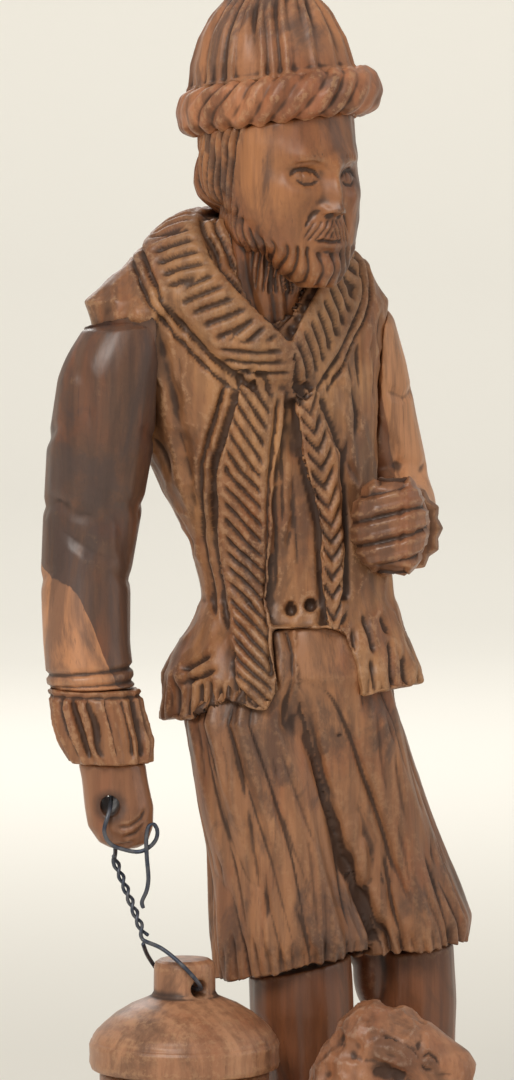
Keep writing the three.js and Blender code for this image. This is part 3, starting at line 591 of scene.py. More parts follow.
def carveHead():
    local = head["co"] - np.array(headSizes["middle"])
    x, y, z = local @ headSide, local @ headFront, local @ headUp
    frontOnly = ease(y, 3, 8)
    push = np.zeros(len(x))
    for side, up, wide, high, amount in faceMounds:
        for s in ((-1, 1) if side else (1,)):
            push += amount * np.exp(-((x - s * side) / wide) ** 2 - ((z - up) / high) ** 2)
    head["co"] += headFront * (push * frontOnly)[:, None]
    store(head)
    flat = np.stack([x, z], 1)
    for s in (-1, 1):
        lids = [[(s * 2.4, 0.5), (s * 3.4, 1.6), (s * 4.9, 2.0), (s * 6.5, 1.5), (s * 7.6, 0.4)],
                [(s * 2.6, 0.3), (s * 4.0, -0.5), (s * 5.4, -0.6), (s * 6.8, 0.0)]]
        strokes(head, flat, lids, 0.5, 0.4, frontOnly, 1.2, 0.8)
        socket = [(s * 2.4, 3.0), (s * 4.6, 3.5), (s * 7.2, 2.6)]
        strokes(head, flat, [socket], 0.7, 0.25, frontOnly, 2, 0.4)
        cheekLine = [(s * 2.6, -4.6), (s * 3.9, -6.4), (s * 4.9, -8.4)]
        strokes(head, flat, [cheekLine], 0.7, 0.35, frontOnly, 1.6, 0.3)
        # a shallow ring round each eye, with painted shade
        d = np.hypot(x - s * 4.8, z - 0.75)
        ring = np.clip(1 - np.abs(d - 0.85) / 0.3, 0, 1) * frontOnly
        carve(head, ring * 0.16, ring * 0.8)
        brow = [[(s * (2.4 + 0.8 * i), 4.5 - 0.04 * i * i), (s * (3.1 + 0.8 * i), 5.4 - 0.06 * i * i)]
                for i in range(7)]
        strokes(head, flat, brow, 0.32, 0.2, frontOnly, 0.8, 0.5)
        d = np.hypot(x - s * 1.15, (z + 5.6) * 1.4)
        nostril = np.clip(1.3 - d / 0.75, 0, 1) * frontOnly
        carve(head, nostril * 0.6, nostril)
    mouth = [(-3.1, -10.5), (-1.4, -10.25), (0, -10.4), (1.4, -10.25), (3.1, -10.5)]
    strokes(head, flat, [mouth], 0.5, 0.55, frontOnly, 1.2, 1)
    store(head)
    # moustache, jaw beard, chin beard and hair as cut strands
    angle = np.arctan2(x, y)
    n = softNoise(head["co"] / 4, 17)
    lip = ease(1.7 - np.abs(z + 8.0 + 0.2 * np.abs(x)), -0.3, 0.4) * frontOnly
    lip = lip * ease(4.9 - np.abs(x), -0.4, 0.6)
    strands = ease(comb((x + np.sign(x) * (z + 8) * 0.5) / 1.05 + n * 0.5, 0.8), 0, 1) * lip
    carve(head, strands * 0.35, strands * 0.6)
    edge = -4.6 - 6.6 * ease(y, 1.5, 9.5)
    beard = ease(edge - z, -0.2, 1.2) * ease(y, -1.6, 0.4) * (1 - lip) * ease(z, -24, -21)
    beard = beard * (1 - ease(3.2 - np.abs(x), -0.3, 0.6) * ease(2.0 - np.abs(z + 10.6), -0.3, 0.3))
    beard = beard * ease(z + 13 + ease(y, 2.5, 7) * 10, 0, 1.5)
    strand = headSizes["strand"]
    strands = ease(comb(angle * 12.5 / strand + z * 0.1 + n * 0.9, 0.8), 0, 1) * beard
    carve(head, strands * 0.7 - beard * 0.3, strands * 0.85)
    hair = ease(4.6 - y, 0, 1.2) * ease(z, -11, -8.5) * ease(-z, -9, -8)
    strands = ease(comb(angle * 13.5 / strand + n * 0.5, 0.8), 0, 1) * hair
    carve(head, strands * 0.95 - hair * 0.3, strands * 0.85)
    store(head)
    throat = ease(205.5 - head["co"][:, 2], 0, 3)
    cords = [[(-4.5, 201), (-3.2, 192), (-2, 183)], [(-0.6, 196), (0.2, 183)],
             [(-9, 203), (-8, 195), (-5, 185)]]
    strokes(head, flatView(head), cords, 1.3, 0.7, facing(head) * throat, 3, 0.5)
    wobble(head, 1.3, 0.06, (1, 1, 2), 9)
    wobble(head, 5, 0.2, (1, 1, 1), 19, 1 - frontOnly)
    head["cut"] = np.maximum(head["cut"], 0.75 * ease(softNoise(head["co"] / 5, 41), 0.3, 0.6))
    bank(head)


carveHead()
skinWood = woodFinish("skinWood", woodOf(
    light=tint(176, 117, 72), mid=tint(150, 94, 56), dustShare=0.3, deep=tint(80, 54, 42),
    deepShare=0.75, tooth=0.4, gloss=0.34, varnish=0.32))
dress(head, "figure", ["head", "neck"], skinWood)
print("head carved")


# cap

capSizes = {"voxel": 0.32, "flutes": 30, "ropes": 26, "middle": (-6.6, 5.0), "slope": 0.13,
            "brimHeight": 227.2}
capCrown = castClay("capCrown", ["cap_crown"], capSizes["voxel"], 0.1, 12)
capBrim = castClay("capBrim", ["cap_brim"], capSizes["voxel"], 0.3, 30)


def carveCap():
    for form in (capCrown, capBrim):
        x = form["co"][:, 0] - capSizes["middle"][0]
        y = form["co"][:, 1] - capSizes["middle"][1]
        form["angle"] = np.arctan2(x, -y)
        lift = (form["co"] - np.array([*capSizes["middle"], 0])) @ acrossAxis(viewTurn)
        form["level"] = form["co"][:, 2] - capSizes["brimHeight"] - capSizes["slope"] * lift
    co = capCrown["co"]
    fade = ease(250.6 - co[:, 2], 0.2, 5)
    n = softNoise(co / np.array([6, 6, 18]), 5)
    flute = ease(comb(capCrown["angle"] * capSizes["flutes"] / (2 * math.pi) + 1.5 * n, 0.95), 0, 1)
    strength = 0.35 + 0.65 * ease(softNoise(co / np.array([7, 7, 14]), 6), 0.3, 0.6)
    carve(capCrown, flute * 0.7 * fade * strength, flute * fade * strength * 0.4)
    figure = ease(softNoise(co / np.array([8, 8, 15]), 77), 0.3, 0.55)
    figure = figure * ease(-flatView(capCrown)[:, 0], 0, 10)
    capCrown["cut"] = np.maximum(capCrown["cut"], figure * 0.9)
    wobble(capCrown, 5, 0.35, (1, 1, 2), 8)
    scoops(capCrown, 3.4, 0.16, 1.0, (1, 1, 2.4), 14, 0.1)
    tucked = ease(5.2 - capCrown["level"], 0, 1.5)   # the crown's foot runs into the rolled brim
    carve(capCrown, -0.9 * tucked)
    bank(capCrown)
    n = softNoise(capBrim["co"] / 8, 15)
    turns = capBrim["angle"] * capSizes["ropes"] / (2 * math.pi)
    rope = comb(turns - capBrim["level"] * 0.17 + 0.7 * n, 0.9)
    strength = 0.25 + 0.75 * ease(softNoise(capBrim["co"] / 9, 4), 0.25, 0.5)
    fading = ease(capBrim["angle"], 0.15, 0.7) * ease(1.6 - capBrim["angle"], 0, 0.4)
    strength = strength * (1 - 0.75 * fading)
    rope = ease(rope, 0.05, 1) * strength
    carve(capBrim, rope * 0.75 - 0.12, rope * 0.5)
    wobble(capBrim, 3.4, 0.25, (1, 1, 1), 8)
    bank(capBrim)


carveCap()
capWood = woodFinish("capWood", woodOf(
    light=tint(182, 124, 84), mid=tint(158, 106, 74), dark=tint(108, 76, 56), deep=tint(88, 68, 60),
    deepShare=0.75))
brimWood = woodFinish("brimWood", woodOf(
    light=tint(190, 126, 86), mid=tint(166, 106, 72), dustShare=0.5))
dress(capCrown, "figure", ["cap_crown"], capWood)
dress(capBrim, "figure", ["cap_brim"], brimWood)
print("cap carved")


# right arm

armSizes = {"voxel": 0.36, "ribs": 17}
rightSleeve = castClay("rightSleeve", ["right_sleeve"], armSizes["voxel"], 0.2, 30)
rightCuff = castClay("rightCuff", ["right_cuff"], armSizes["voxel"], 0.16, 3)
handAcross, handToward = acrossAxis(viewTurn), towardAxis(viewTurn)
upright = np.array([0, 0, 1.0])
rightHand = castClay("rightHand", ["right_hand"], 0.28, 0.14, 12)


def carveRightArm():
    flat = flatView(rightSleeve)
    front = facing(rightSleeve)
    wobble(rightSleeve, 16, 0.35, (1, 1, 2), 4)
    carve(rightSleeve, ease(rightSleeve["co"][:, 2], 176, 189) ** 2 * 1.6)   # rounded in under the shoulder
    folds = [[(-33, 158), (-30, 150), (-29.6, 142)], [(-42, 150), (-36, 146), (-31, 144)],
             [(-44, 156), (-39, 153), (-34, 152)], [(-40, 182), (-37, 176), (-36, 168)]]
    strokes(rightSleeve, flat, folds, 2.4, 0.5, front, 5, 0.12)
    for turn in (60, 120, 180, 240):
        side = flatView(rightSleeve, turn)
        middle = side[:, 0].mean()
        lines = [[(middle - 6, 168 - 13 * i), (middle, 166 - 13 * i), (middle + 6, 169 - 13 * i)]
                 for i in range(3)]
        strokes(rightSleeve, side, lines, 2.2, 0.4, facing(rightSleeve, turn, 0.3, 0.7), 4, 0.12)
    for z in (121.6, 124.0):
        ring = np.clip(1 - np.abs(rightSleeve["co"][:, 2] - z - 0.09 * (flat[:, 0] + 36)) / 0.75, 0, 1)
        carve(rightSleeve, ring * 0.7, ring * 1.1)
    line = 146.5 - 1.5 * (flat[:, 0] + 45.9) + 2.5 * np.sin(flat[:, 0] * 0.45)
    rightSleeve["sap"] = ease(line - rightSleeve["co"][:, 2], -1.6, 1.6)
    rightSleeve["rise"] = ease(softNoise(rightSleeve["co"] / 7, 3), 0.6, 0.85) * 0.6
    figure = softNoise(rightSleeve["co"] / np.array([6, 6, 13]), 51)
    rightSleeve["cut"] = np.maximum(rightSleeve["cut"], ease(figure, 0.46, 0.66) * 0.8)
    figure = softNoise(rightSleeve["co"] / np.array([5, 5, 11]) + figure[:, None] * 2, 57)
    rightSleeve["sap"] = np.maximum(rightSleeve["sap"], ease(figure, 0.45, 0.75) * 0.16)
    wobble(rightSleeve, 2.2, 0.05, (1, 1, 4), 9)
    bank(rightSleeve)
    axisLine = [(-38, 11.4, 107), (-38.7, 12.4, 111.5), (-39.7, 13.9, 117.5), (-39.8, 14.4, 121)]
    around, angle = unroll(rightCuff, axisLine, 9)
    z = rightCuff["co"][:, 2]
    rib = comb(angle * armSizes["ribs"] / (2 * math.pi) + 0.4 * softNoise(rightCuff["co"] / 5, 3), 0.6)
    inside = ease(z, 108.2, 110) * ease(119.4 - z, -0.3, 0.8)
    carve(rightCuff, rib * inside * 0.95, rib * inside)
    ring = np.clip(1 - np.abs(z - 119.6) / 0.6, 0, 1)
    carve(rightCuff, ring * 0.6, ring)
    wobble(rightCuff, 3, 0.2, (1, 1, 1), 9)
    # painted light on the rib tops
    rightCuff["rise"] = (1 - rib) * inside * 0.5
    rightCuff["sap"] += 0.25
    bank(rightCuff)
    local = rightHand["co"] - np.array([-38.7, 10.1, 101.4])
    x, y, z = local @ handAcross, local @ handToward, local[:, 2]
    flat = np.stack([x, z], 1)
    for sign in (1, -1):
        mask = ease(sign * y, 0.4, 1.6)
        fingers = [[(6.4, -1.8), (5.6, -3.6), (3.4, -5.0), (1.0, -5.2)],
                   [(6.2, -4.4), (4.6, -6.2), (2.2, -7.0)],
                   [(4.4, -7.8), (2.4, -8.6), (0.6, -8.4)]]
        strokes(rightHand, flat, fingers, 0.8, 0.55, mask, 1.6, 0.45)
        palm = np.exp(-((x - 3.4) / 2.4) ** 2 - ((z + 4.2) / 3.0) ** 2) * mask
        carve(rightHand, -0.55 * palm)
    d = np.hypot(x, z + y * 0.344)
    mouth = np.clip(1 - np.abs(d - 2.1) / 0.7, 0, 1) * ease(np.abs(y), 2.5, 3.6)
    # painted shade inside the staff hole and round its mouth
    rightHand["cut"] = np.maximum(rightHand["cut"], np.clip(2.2 - d / 1.9, 0, 1) * 1.6)
    carve(rightHand, mouth * 0.12, mouth * 0.8)
    wobble(rightHand, 4, 0.16, (1, 1, 1), 9)
    rightHand["rise"] = ease(softNoise(rightHand["co"] / 3, 3), 0.6, 0.8) * 0.5
    bank(rightHand)


carveRightArm()
rightSleeveWood = woodFinish("rightSleeveWood", woodOf(
    light=tint(132, 92, 68), mid=tint(104, 72, 54), dark=tint(66, 48, 42), pale=tint(196, 136, 94),
    deep=tint(72, 58, 56), deepShare=0.6, dustShare=0.25, tooth=0.35, gloss=0.38, varnish=0.3))
cuffWood = woodFinish("cuffWood", woodOf(
    light=tint(182, 126, 84), mid=tint(154, 104, 68), dustShare=0.45))
handWood = woodFinish("handWood", woodOf(
    light=tint(172, 118, 82), mid=tint(146, 98, 68), dustShare=0.35, tooth=0.35, gloss=0.34,
    varnish=0.32))
dress(rightSleeve, "figure", ["right_sleeve"], rightSleeveWood)
dress(rightCuff, "figure", ["right_cuff"], cuffWood)
dress(rightHand, "figure", ["right_hand"], handWood)
print("right arm carved")


# left arm

leftSleeve = castClay("leftSleeve", ["left_sleeve"], armSizes["voxel"], 0.2, 30)
leftCuff = castClay("leftCuff", ["left_cuff"], 0.3, 0.2, 9)
leftHand = castClay("leftHand", ["left_hand"], 0.28, 0.14, 12)


def carveLeftArm():
    flat = flatView(leftSleeve)
    folds = [[(12.5, 186), (15.5, 178), (17, 168)], [(14, 172), (19, 164), (21, 156)],
             [(12, 160), (17, 157), (22, 158)], [(13, 154), (18, 152.5), (23, 154)]]
    strokes(leftSleeve, flat, folds, 2.2, 0.5, facing(leftSleeve), 5, 0.15)
    side = flatView(leftSleeve, 60)
    strokes(leftSleeve, side, [[(-2, 176), (6, 173), (12, 175)], [(-4, 160), (4, 158), (12, 161)]], 1.6, 0.5,
            facing(leftSleeve, 60, 0.3, 0.6), 4, 0.15)
    leftSleeve["sap"] = ease(flat[:, 0] - 0.18 * (190 - leftSleeve["co"][:, 2]), 12.5, 15.5)
    leftSleeve["rise"] = ease(softNoise(leftSleeve["co"] / 7, 3), 0.6, 0.85) * 0.6
    wobble(leftSleeve, 14, 0.3, (1, 1, 2), 6)
    wobble(leftSleeve, 2.2, 0.05, (1, 1, 4), 9)
    bank(leftSleeve)
    middle = np.array([13.4, -2.8, 149.3])
    local = leftCuff["co"] - middle
    x, y, z = local @ handAcross, local @ handToward, local[:, 2]
    angle = np.arctan2(x, z)
    rib = comb(angle * 14 / (2 * math.pi), 0.7)
    rim = ease(np.abs(leftCuff["no"] @ handToward), 0.9, 0.5)
    carve(leftCuff, rib * 0.4 * rim, rib * 0.8)
    # painted light on the rib tops
    leftCuff["rise"] = (1 - rib) * 0.4
    wobble(leftCuff, 3, 0.15, (1, 1, 1), 9)
    bank(leftCuff)
    fist = np.array([9.3, -8.6, 150.2])
    local = leftHand["co"] - fist
    x, y, z = local @ handAcross, local @ handToward, local[:, 2]
    lean = z - 0.24 * x
    front = ease(y, -2.5, 0.5) * ease(7.8 - np.abs(z), -1, 1.5)
    fingers = comb((lean + 9.2) / 4.6 + 0.0, 0.5) * front
    carve(leftHand, fingers * 1.15, fingers)
    swell = (np.abs(np.sin((lean + 9.2) / 4.6 * math.pi))) ** 0.7 * front
    carve(leftHand, -swell * 0.35)
    flat = np.stack([x, lean], 1)
    bends = [[(1.4, c - 1.6), (2.2, c + 1.6)] for c in (-6.9, -2.3, 2.3, 6.9)]
    strokes(leftHand, flat, bends, 0.9, 0.3, front, 1.2, 0.2)
    carve(leftHand, ease(x, 2.5, 8) * 1.5 * ease(y, -5, -1))
    hole = np.hypot(leftHand["co"][:, 0] - 9.7, leftHand["co"][:, 1] + 8.8)
    slot = ease(np.abs(z), 6.6, 8.2) * ease(y, -1.5, 1) * ease(3.4 - np.abs(x), 0, 1)
    carve(leftHand, slot * 0.9, slot * 0.9)
    # painted shade inside the staff hole
    leftHand["cut"] = np.maximum(leftHand["cut"], np.clip(1.7 - hole / 2.6, 0, 1) * 1.8)
    wobble(leftHand, 3, 0.12, (1, 1, 1), 9)
    # painted highlight on the finger swells
    leftHand["rise"] = swell * 0.45
    bank(leftHand)


carveLeftArm()
leftSleeveWood = woodFinish("leftSleeveWood", woodOf(
    light=tint(160, 108, 72), mid=tint(128, 84, 56), dark=tint(84, 56, 42), pale=tint(202, 142, 98),
    dustShare=0.3, tooth=0.35, gloss=0.4))
dress(leftSleeve, "figure", ["left_sleeve"], leftSleeveWood)
dress(leftCuff, "figure", ["left_cuff"], cuffWood)
dress(leftHand, "figure", ["left_hand"], handWood)
print("left arm carved")


# breeches

trouserSizes = {"voxel": 0.46, "cuts": 90, "foldDepth": 0.9}
rightAxis = [(-1.4, 8.4, 66), (-4.3, 9, 89), (-7.4, 10, 104), (-9.4, 11.4, 114), (-6, 11.4, 127)]
leftAxis = [(21.2, 7.6, 70), (16.4, 8.6, 90), (12.4, 9.6, 104), (10.6, 10.6, 114), (8, 11, 127)]


def legBridge():  # clay where the two legs lie against each other
    lumps = []
    for height in np.arange(88, 124, 6.0):
        across = np.interp(height, [66, 76, 95, 117, 127], [18.8, 16.4, 9.4, 3.4, 2.6])
        toward = np.interp(height, [66, 80, 100, 118], [2.5, 4.5, 7.0, 9.0])
        spot = bodyMiddle + acrossAxis(viewTurn) * across + towardAxis(viewTurn) * toward
        wide = np.interp(height, [88, 104], [3.2, 5.4])
        lumps.append((spot + np.array([0, 0, height]), (wide, 4.6, 8.0),
                      (acrossAxis(viewTurn), towardAxis(viewTurn), np.array([0, 0, 1.0]))))
    spot = bodyMiddle + acrossAxis(viewTurn) * 14.6 + towardAxis(viewTurn) * 3.4   # set back near the hem
    lumps.append((spot + np.array([0, 0, 79.5]), (4.2, 4.2, 7.5),
                  (acrossAxis(viewTurn), towardAxis(viewTurn), np.array([0, 0, 1.0]))))
    return lumps


trousers = castClay("trouserCarving", ["right_trouser_leg", "left_trouser_leg"],
                    trouserSizes["voxel"], 0.2, 9, legBridge())


def carveTrousers():
    co = trousers["co"]
    z = co[:, 2]
    flat = flatView(trousers)
    split = np.interp(z, [66, 76, 95, 117, 127], [18.2, 15.6, 8.0, 1.9, 1.0])
    onRight = (flat[:, 0] < split).astype(float)
    wobble(trousers, 11, 0.5, (1, 1, 2.5), 2)
    rng = np.random.default_rng(11)
    for axisLine, mine, seed in ((rightAxis, onRight, 3), (leftAxis, 1 - onRight, 7)):
        around, angle = unroll(trousers, axisLine, 13)
        skin = ease(1 - np.abs(trousers["no"][:, 2]), 0.25, 0.5) * mine
        draped = np.stack([around[:, 0] / 3.4 + (z - 66) * 0.03, z / 34, np.full(len(z), seed)], 1)
        drape = softNoise(draped, seed)
        ridge = 1 - np.abs(drape * 2 - 1)
        # fold valleys pushed in, with painted shade
        carve(trousers, (ridge - 0.5) * 2 * trouserSizes["foldDepth"] * skin, ridge ** 6 * skin * 0.5)
        lines = []
        for i in range(trouserSizes["cuts"]):
            a, top, long = rng.uniform(-41, 41), rng.uniform(70, 126), rng.uniform(5, 20)
            lean = rng.uniform(-0.12, 0.2)
            lines.append([(a, top), (a + lean * long * 0.5 + rng.uniform(-0.5, 0.5), top - long / 2),
                          (a + lean * long, top - long)])
        strokes(trousers, around, lines, 1.0, 0.5, skin, 4.5, 0.3)
        rows = [[(a, 74 + rng.uniform(-1, 2)), (a + rng.uniform(-0.6, 0.8), 65)]
                for a in np.arange(-41, 41, 2.3)]
        strokes(trousers, around, rows, 0.85, 0.6, skin, 3.5, 0.35)
    # the crease between the legs, with painted shade
    line = [(1.6, 119), (5, 106), (9.5, 92), (15.8, 76), (18, 70)]
    strokes(trousers, flat, [line], 2.0, 0.9, facing(trousers), 6, 0.35)
    # downward faces pushed in and given painted shade
    under = ease(-trousers["no"][:, 2], 0.35, 0.75)
    carve(trousers, under * 1.6, under * 0.9)
    trousers["rise"] = np.maximum(trousers["rise"], ease(softNoise(co / 9, 31), 0.5, 0.8) * 0.5)
    wobble(trousers, 1.5, 0.09, (1, 1, 4), 9)
    bank(trousers)


carveTrousers()
trouserWood = woodFinish("trouserWood", woodOf(
    light=tint(172, 120, 82), mid=tint(138, 92, 62), dark=tint(82, 58, 44), dustShare=0.2,
    deep=tint(84, 60, 48), deepShare=0.75, tooth=0.7))
dress(trousers, "figure", ["right_trouser_leg", "left_trouser_leg"], trouserWood)
print("breeches carved")


# calves, boots and base

viewBasis = (handAcross, handToward, upright)
innerKnee = bodyMiddle + handAcross * 15.4 - handToward * 6.5
calves = castClay("calfCarving", ["right_calf", "left_calf"], 0.42, 0.1, 12, [
    (innerKnee + np.array([0, 0, 66.0]), (3.6, 5.0, 8.0), viewBasis),
    (innerKnee + np.array([0, 0, 72.0]), (6.4, 5.0, 6.0), viewBasis)])
boots = castClay("bootCarving", ["right_boot", "left_boot"], 0.42, 0.0, 4)
base = castClay("baseCarving", ["base"], 0.7, 0.0, 2)


def carveLegs():
    wobble(calves, 9, 0.3, (1, 1, 2.5), 6)
    scoops(calves, 4.5, 0.14, 1.0, (1, 1, 3), 4, 0.1)
    calves["rise"] = ease(softNoise(calves["co"] / 6, 3), 0.6, 0.85) * 0.4
    # painted shadow under the breeches' hem
    calves["cut"] = np.maximum(calves["cut"], ease(calves["co"][:, 2], 62, 70) * 0.7)
    bank(calves)
    z = boots["co"][:, 2]
    for height in (31.2, 17.6):
        ring = np.clip(1 - np.abs(z - height) / 0.6, 0, 1)
        carve(boots, ring * 0.6, ring)
    upper = ease(z, 18.5, 20)
    scoops(boots, 3.2, 0.22, upper, (1, 1, 1.4), 4, 0.2)
    for foot, turn in (((2.2, 6.2), -14), ((26.6, 6.2), 18)):
        local = boots["co"] - np.array([foot[0], foot[1], 0])
        x, y = local @ acrossAxis(turn), local @ towardAxis(turn)
        mine = ease(11 - np.abs(x), 0, 2) * ease(15 - np.abs(y - 3), 0, 1) * ease(boots["no"][:, 2], 0.1, 0.4)
        laces = comb(y / 2.6, 0.4) * ease(3 - np.abs(x), -0.3, 0.6)
        laces = laces * ease(y, 1, 3) * ease(11.5 - y, 0, 2) * mine
        carve(boots, laces * 0.5, laces)
    wobble(boots, 5, 0.15, (1, 1, 1), 4)
    boots["rise"] = ease(softNoise(boots["co"] / 5, 3), 0.55, 0.85) * 0.4
    bank(boots)
    co = base["co"]
    top = ease(base["no"][:, 2], 0.5, 0.9)
    side = ease(1 - np.abs(base["no"][:, 2]), 0.4, 0.7)
    angle = np.arctan2(co[:, 0] / 44, -co[:, 1] / 34)
    facet = comb(angle * 46 / (2 * math.pi) + 0.5 * softNoise(co / 12, 5), 1.0)
    carve(base, (1 - facet) ** 2 * 0.7 * side * ease(co[:, 2], 0.6, 2.4), (1 - facet) ** 2 * side * 0.3)
    scoops(base, 5.0, 0.6, top, (1, 1, 1), 6, 0.4)
    wobble(base, 9, 0.2, (1, 1, 1), 4, top)
    base["rise"] = np.maximum(base["rise"], ease(softNoise(co / 8, 3), 0.55, 0.8) * 0.4)
    base["co"][:, 2] = np.maximum(base["co"][:, 2], 0.0)
    bank(base)


carveLegs()
calfWood = woodFinish("calfWood", woodOf(
    light=tint(150, 94, 60), mid=tint(122, 74, 46), dark=tint(78, 48, 34), dustShare=0.25,
    tooth=0.35, gloss=0.36, varnish=0.32))
bootWood = woodFinish("bootWood", woodOf(
    light=tint(116, 76, 52), mid=tint(92, 60, 42), dark=tint(58, 38, 29), dustShare=0.3, tooth=0.45))
baseWood = woodFinish("baseWood", woodOf(
    light=tint(156, 104, 68), mid=tint(130, 84, 54), dark=tint(84, 54, 38), dustShare=0.45))
dress(calves, "figure", ["right_calf", "left_calf"], calfWood)
dress(boots, "figure", ["right_boot", "left_boot"], bootWood)
dress(base, "figure", ["base"], baseWood)
print("legs and base carved")


# sheep

sheepSizes = {"voxel": 0.36, "middle": (2.6, -21.8, 55.6)}
sheepFront = np.array([0.82, -0.46, -0.34])
sheepFront = sheepFront / np.linalg.norm(sheepFront)
sheepSide = np.cross(sheepFront, upright)
sheepSide = sheepSide / np.linalg.norm(sheepSide)       # towards the viewer's side of the head
sheepUp = np.cross(sheepSide, sheepFront)
sheepBasis = (sheepSide, sheepFront, sheepUp)


def sheepSpot(side, forward, up):
    return np.array(sheepSizes["middle"]) + sheepSide * side + sheepFront * forward + sheepUp * up


sheepLumps = [
    (sheepSpot(0, -1, 4.4), (6.4, 5.6, 4.2), sheepBasis),
    (sheepSpot(0, -6, 1), (8.6, 6, 7), sheepBasis),
    (sheepSpot(7.6, -1.6, 0.4), (1.4, 4.6, 2.0), sheepBasis),
    (sheepSpot(-7.6, -1.6, 0.4), (1.4, 4.6, 2.0), sheepBasis),
    (sheepSpot(0, 10.5, -1.2), (4.4, 4.4, 3.8), sheepBasis),
    (sheepSpot(0, 5, 2.4), (4.2, 5.4, 2.6), sheepBasis),
    (sheepSpot(0, 11.6, -3.4), (3.4, 3.0, 2.2), sheepBasis),
]
sheep = castClay("sheepCarving", ["sheep_body", "sheep_head"], sheepSizes["voxel"], 0.2, 8, sheepLumps)


def carveSheep():
    local = sheep["co"] - np.array(sheepSizes["middle"])
    x, y, z = local @ sheepSide, local @ sheepFront, local @ sheepUp
    muzzle = ease(y, 2.6, 4.2) * ease(sheep["co"][:, 2], 40, 44)
    legs = ease(25 - sheep["co"][:, 2], 0, 2)
    ears = ease(np.abs(x), 7.0, 7.6) * (np.hypot(y + 1.6, (z - 0.4) * 1.9) < 5.2)
    wool = (1 - muzzle) * (1 - legs) * (1 - ears)
    scoops(sheep, 4.4, 0.8, wool, (1, 1, 1), 4, 0.3)
    store(sheep)
    scoops(sheep, 2.1, 0.22, wool, (1, 1, 1), 9, 0.12)
    for s in (-1, 1):
        own = ease(x * s, 2.0, 2.8)
        d = np.hypot(y - 5.2, (z - 1.4) * 1.3)
        carve(sheep, -0.5 * np.exp(-(d / 0.9) ** 2) * own, np.clip(1.6 - d / 0.8, 0, 1) * own)
        lids = [[(3.6, 1.6), (4.8, 2.9), (6.4, 2.4), (7.4, 1.2)], [(3.8, 0.8), (5.2, -0.1), (6.8, 0.4)]]
        strokes(sheep, np.stack([y, z], 1), lids, 0.6, 0.5, own, 1.4, 0.9)
        d = np.sqrt((y - 13.6) ** 2 + (z + 1.0) ** 2 + (x - s * 2.2) ** 2)
        nostril = np.clip(1.3 - d / 0.9, 0, 1)
        carve(sheep, nostril * 0.6, nostril)
    flat = np.stack([y, z], 1)
    strokes(sheep, flat, [[(15, -3.2), (12, -3.3), (8.0, -2.4)]], 0.7, 0.8, muzzle, 1.5, 1)
    sides = ease(np.abs(x), 1, 2.4) * muzzle
    strokes(sheep, flat, [[(7.0, -0.8), (9, 0.2), (11, 0.6)]], 0.9, 0.4, sides, 2, 0.3)
    # painted shade in the ear hollows
    hollow = np.clip(1 - np.hypot((y + 1.6) / 3.2, (z - 0.4) / 1.2), 0, 1) * ears
    carve(sheep, hollow * 0.7, hollow * 0.4)
    # painted shadow under the ears
    under = np.clip(1.3 - np.hypot((y + 1.4) / 4.4, (z + 2.6) / 1.5), 0, 1) * ease(np.abs(x), 4.6, 6)
    carve(sheep, under * 0.9, under * 1.4)
    wobble(sheep, 1.3, 0.05, (1, 1, 1), 9)
    sheep["rise"] = np.maximum(sheep["rise"], ease(softNoise(sheep["co"] / 4, 3), 0.5, 0.8) * 0.35 * wool)
    bank(sheep)


carveSheep()
sheepWood = woodFinish("sheepWood", woodOf(
    light=tint(184, 130, 94), mid=tint(156, 104, 72), dark=tint(104, 68, 48), dustShare=0.25,
    dust=tint(196, 168, 146)))
dress(sheep, "figure", ["sheep_body", "sheep_head"], sheepWood)
print("sheep carved")


# lantern

lanternSizes = {"rimRadius": 17.3, "bodyRadius": 15.6, "neckRadius": 5.6, "high": 48.6, "holeRadius": 1.7,
                "hole": (-29.1, 0.0, 67.5), "steps": 128, "gap": 0.3}


def turnedForm(name, profile, spot):  # a profile spun once round an upright axis
    bm = bmesh.new()
    verts = [bm.verts.new(((spot[0] + r) * mm, spot[1] * mm, z * mm)) for r, z in profile]
    for a, b in zip(verts[:-1], verts[1:]):
        bm.edges.new((a, b))
    bmesh.ops.subdivide_edges(bm, edges=bm.edges[:], cuts=3)
    bmesh.ops.spin(bm, geom=bm.verts[:] + bm.edges[:], cent=(spot[0] * mm, spot[1] * mm, 0), axis=(0, 0, 1),
                   angle=2 * math.pi, steps=lanternSizes["steps"], use_merge=True)
    bmesh.ops.remove_doubles(bm, verts=bm.verts, dist=2e-6)
    bmesh.ops.recalc_face_normals(bm, faces=bm.faces)
    return newPiece(name, bm)


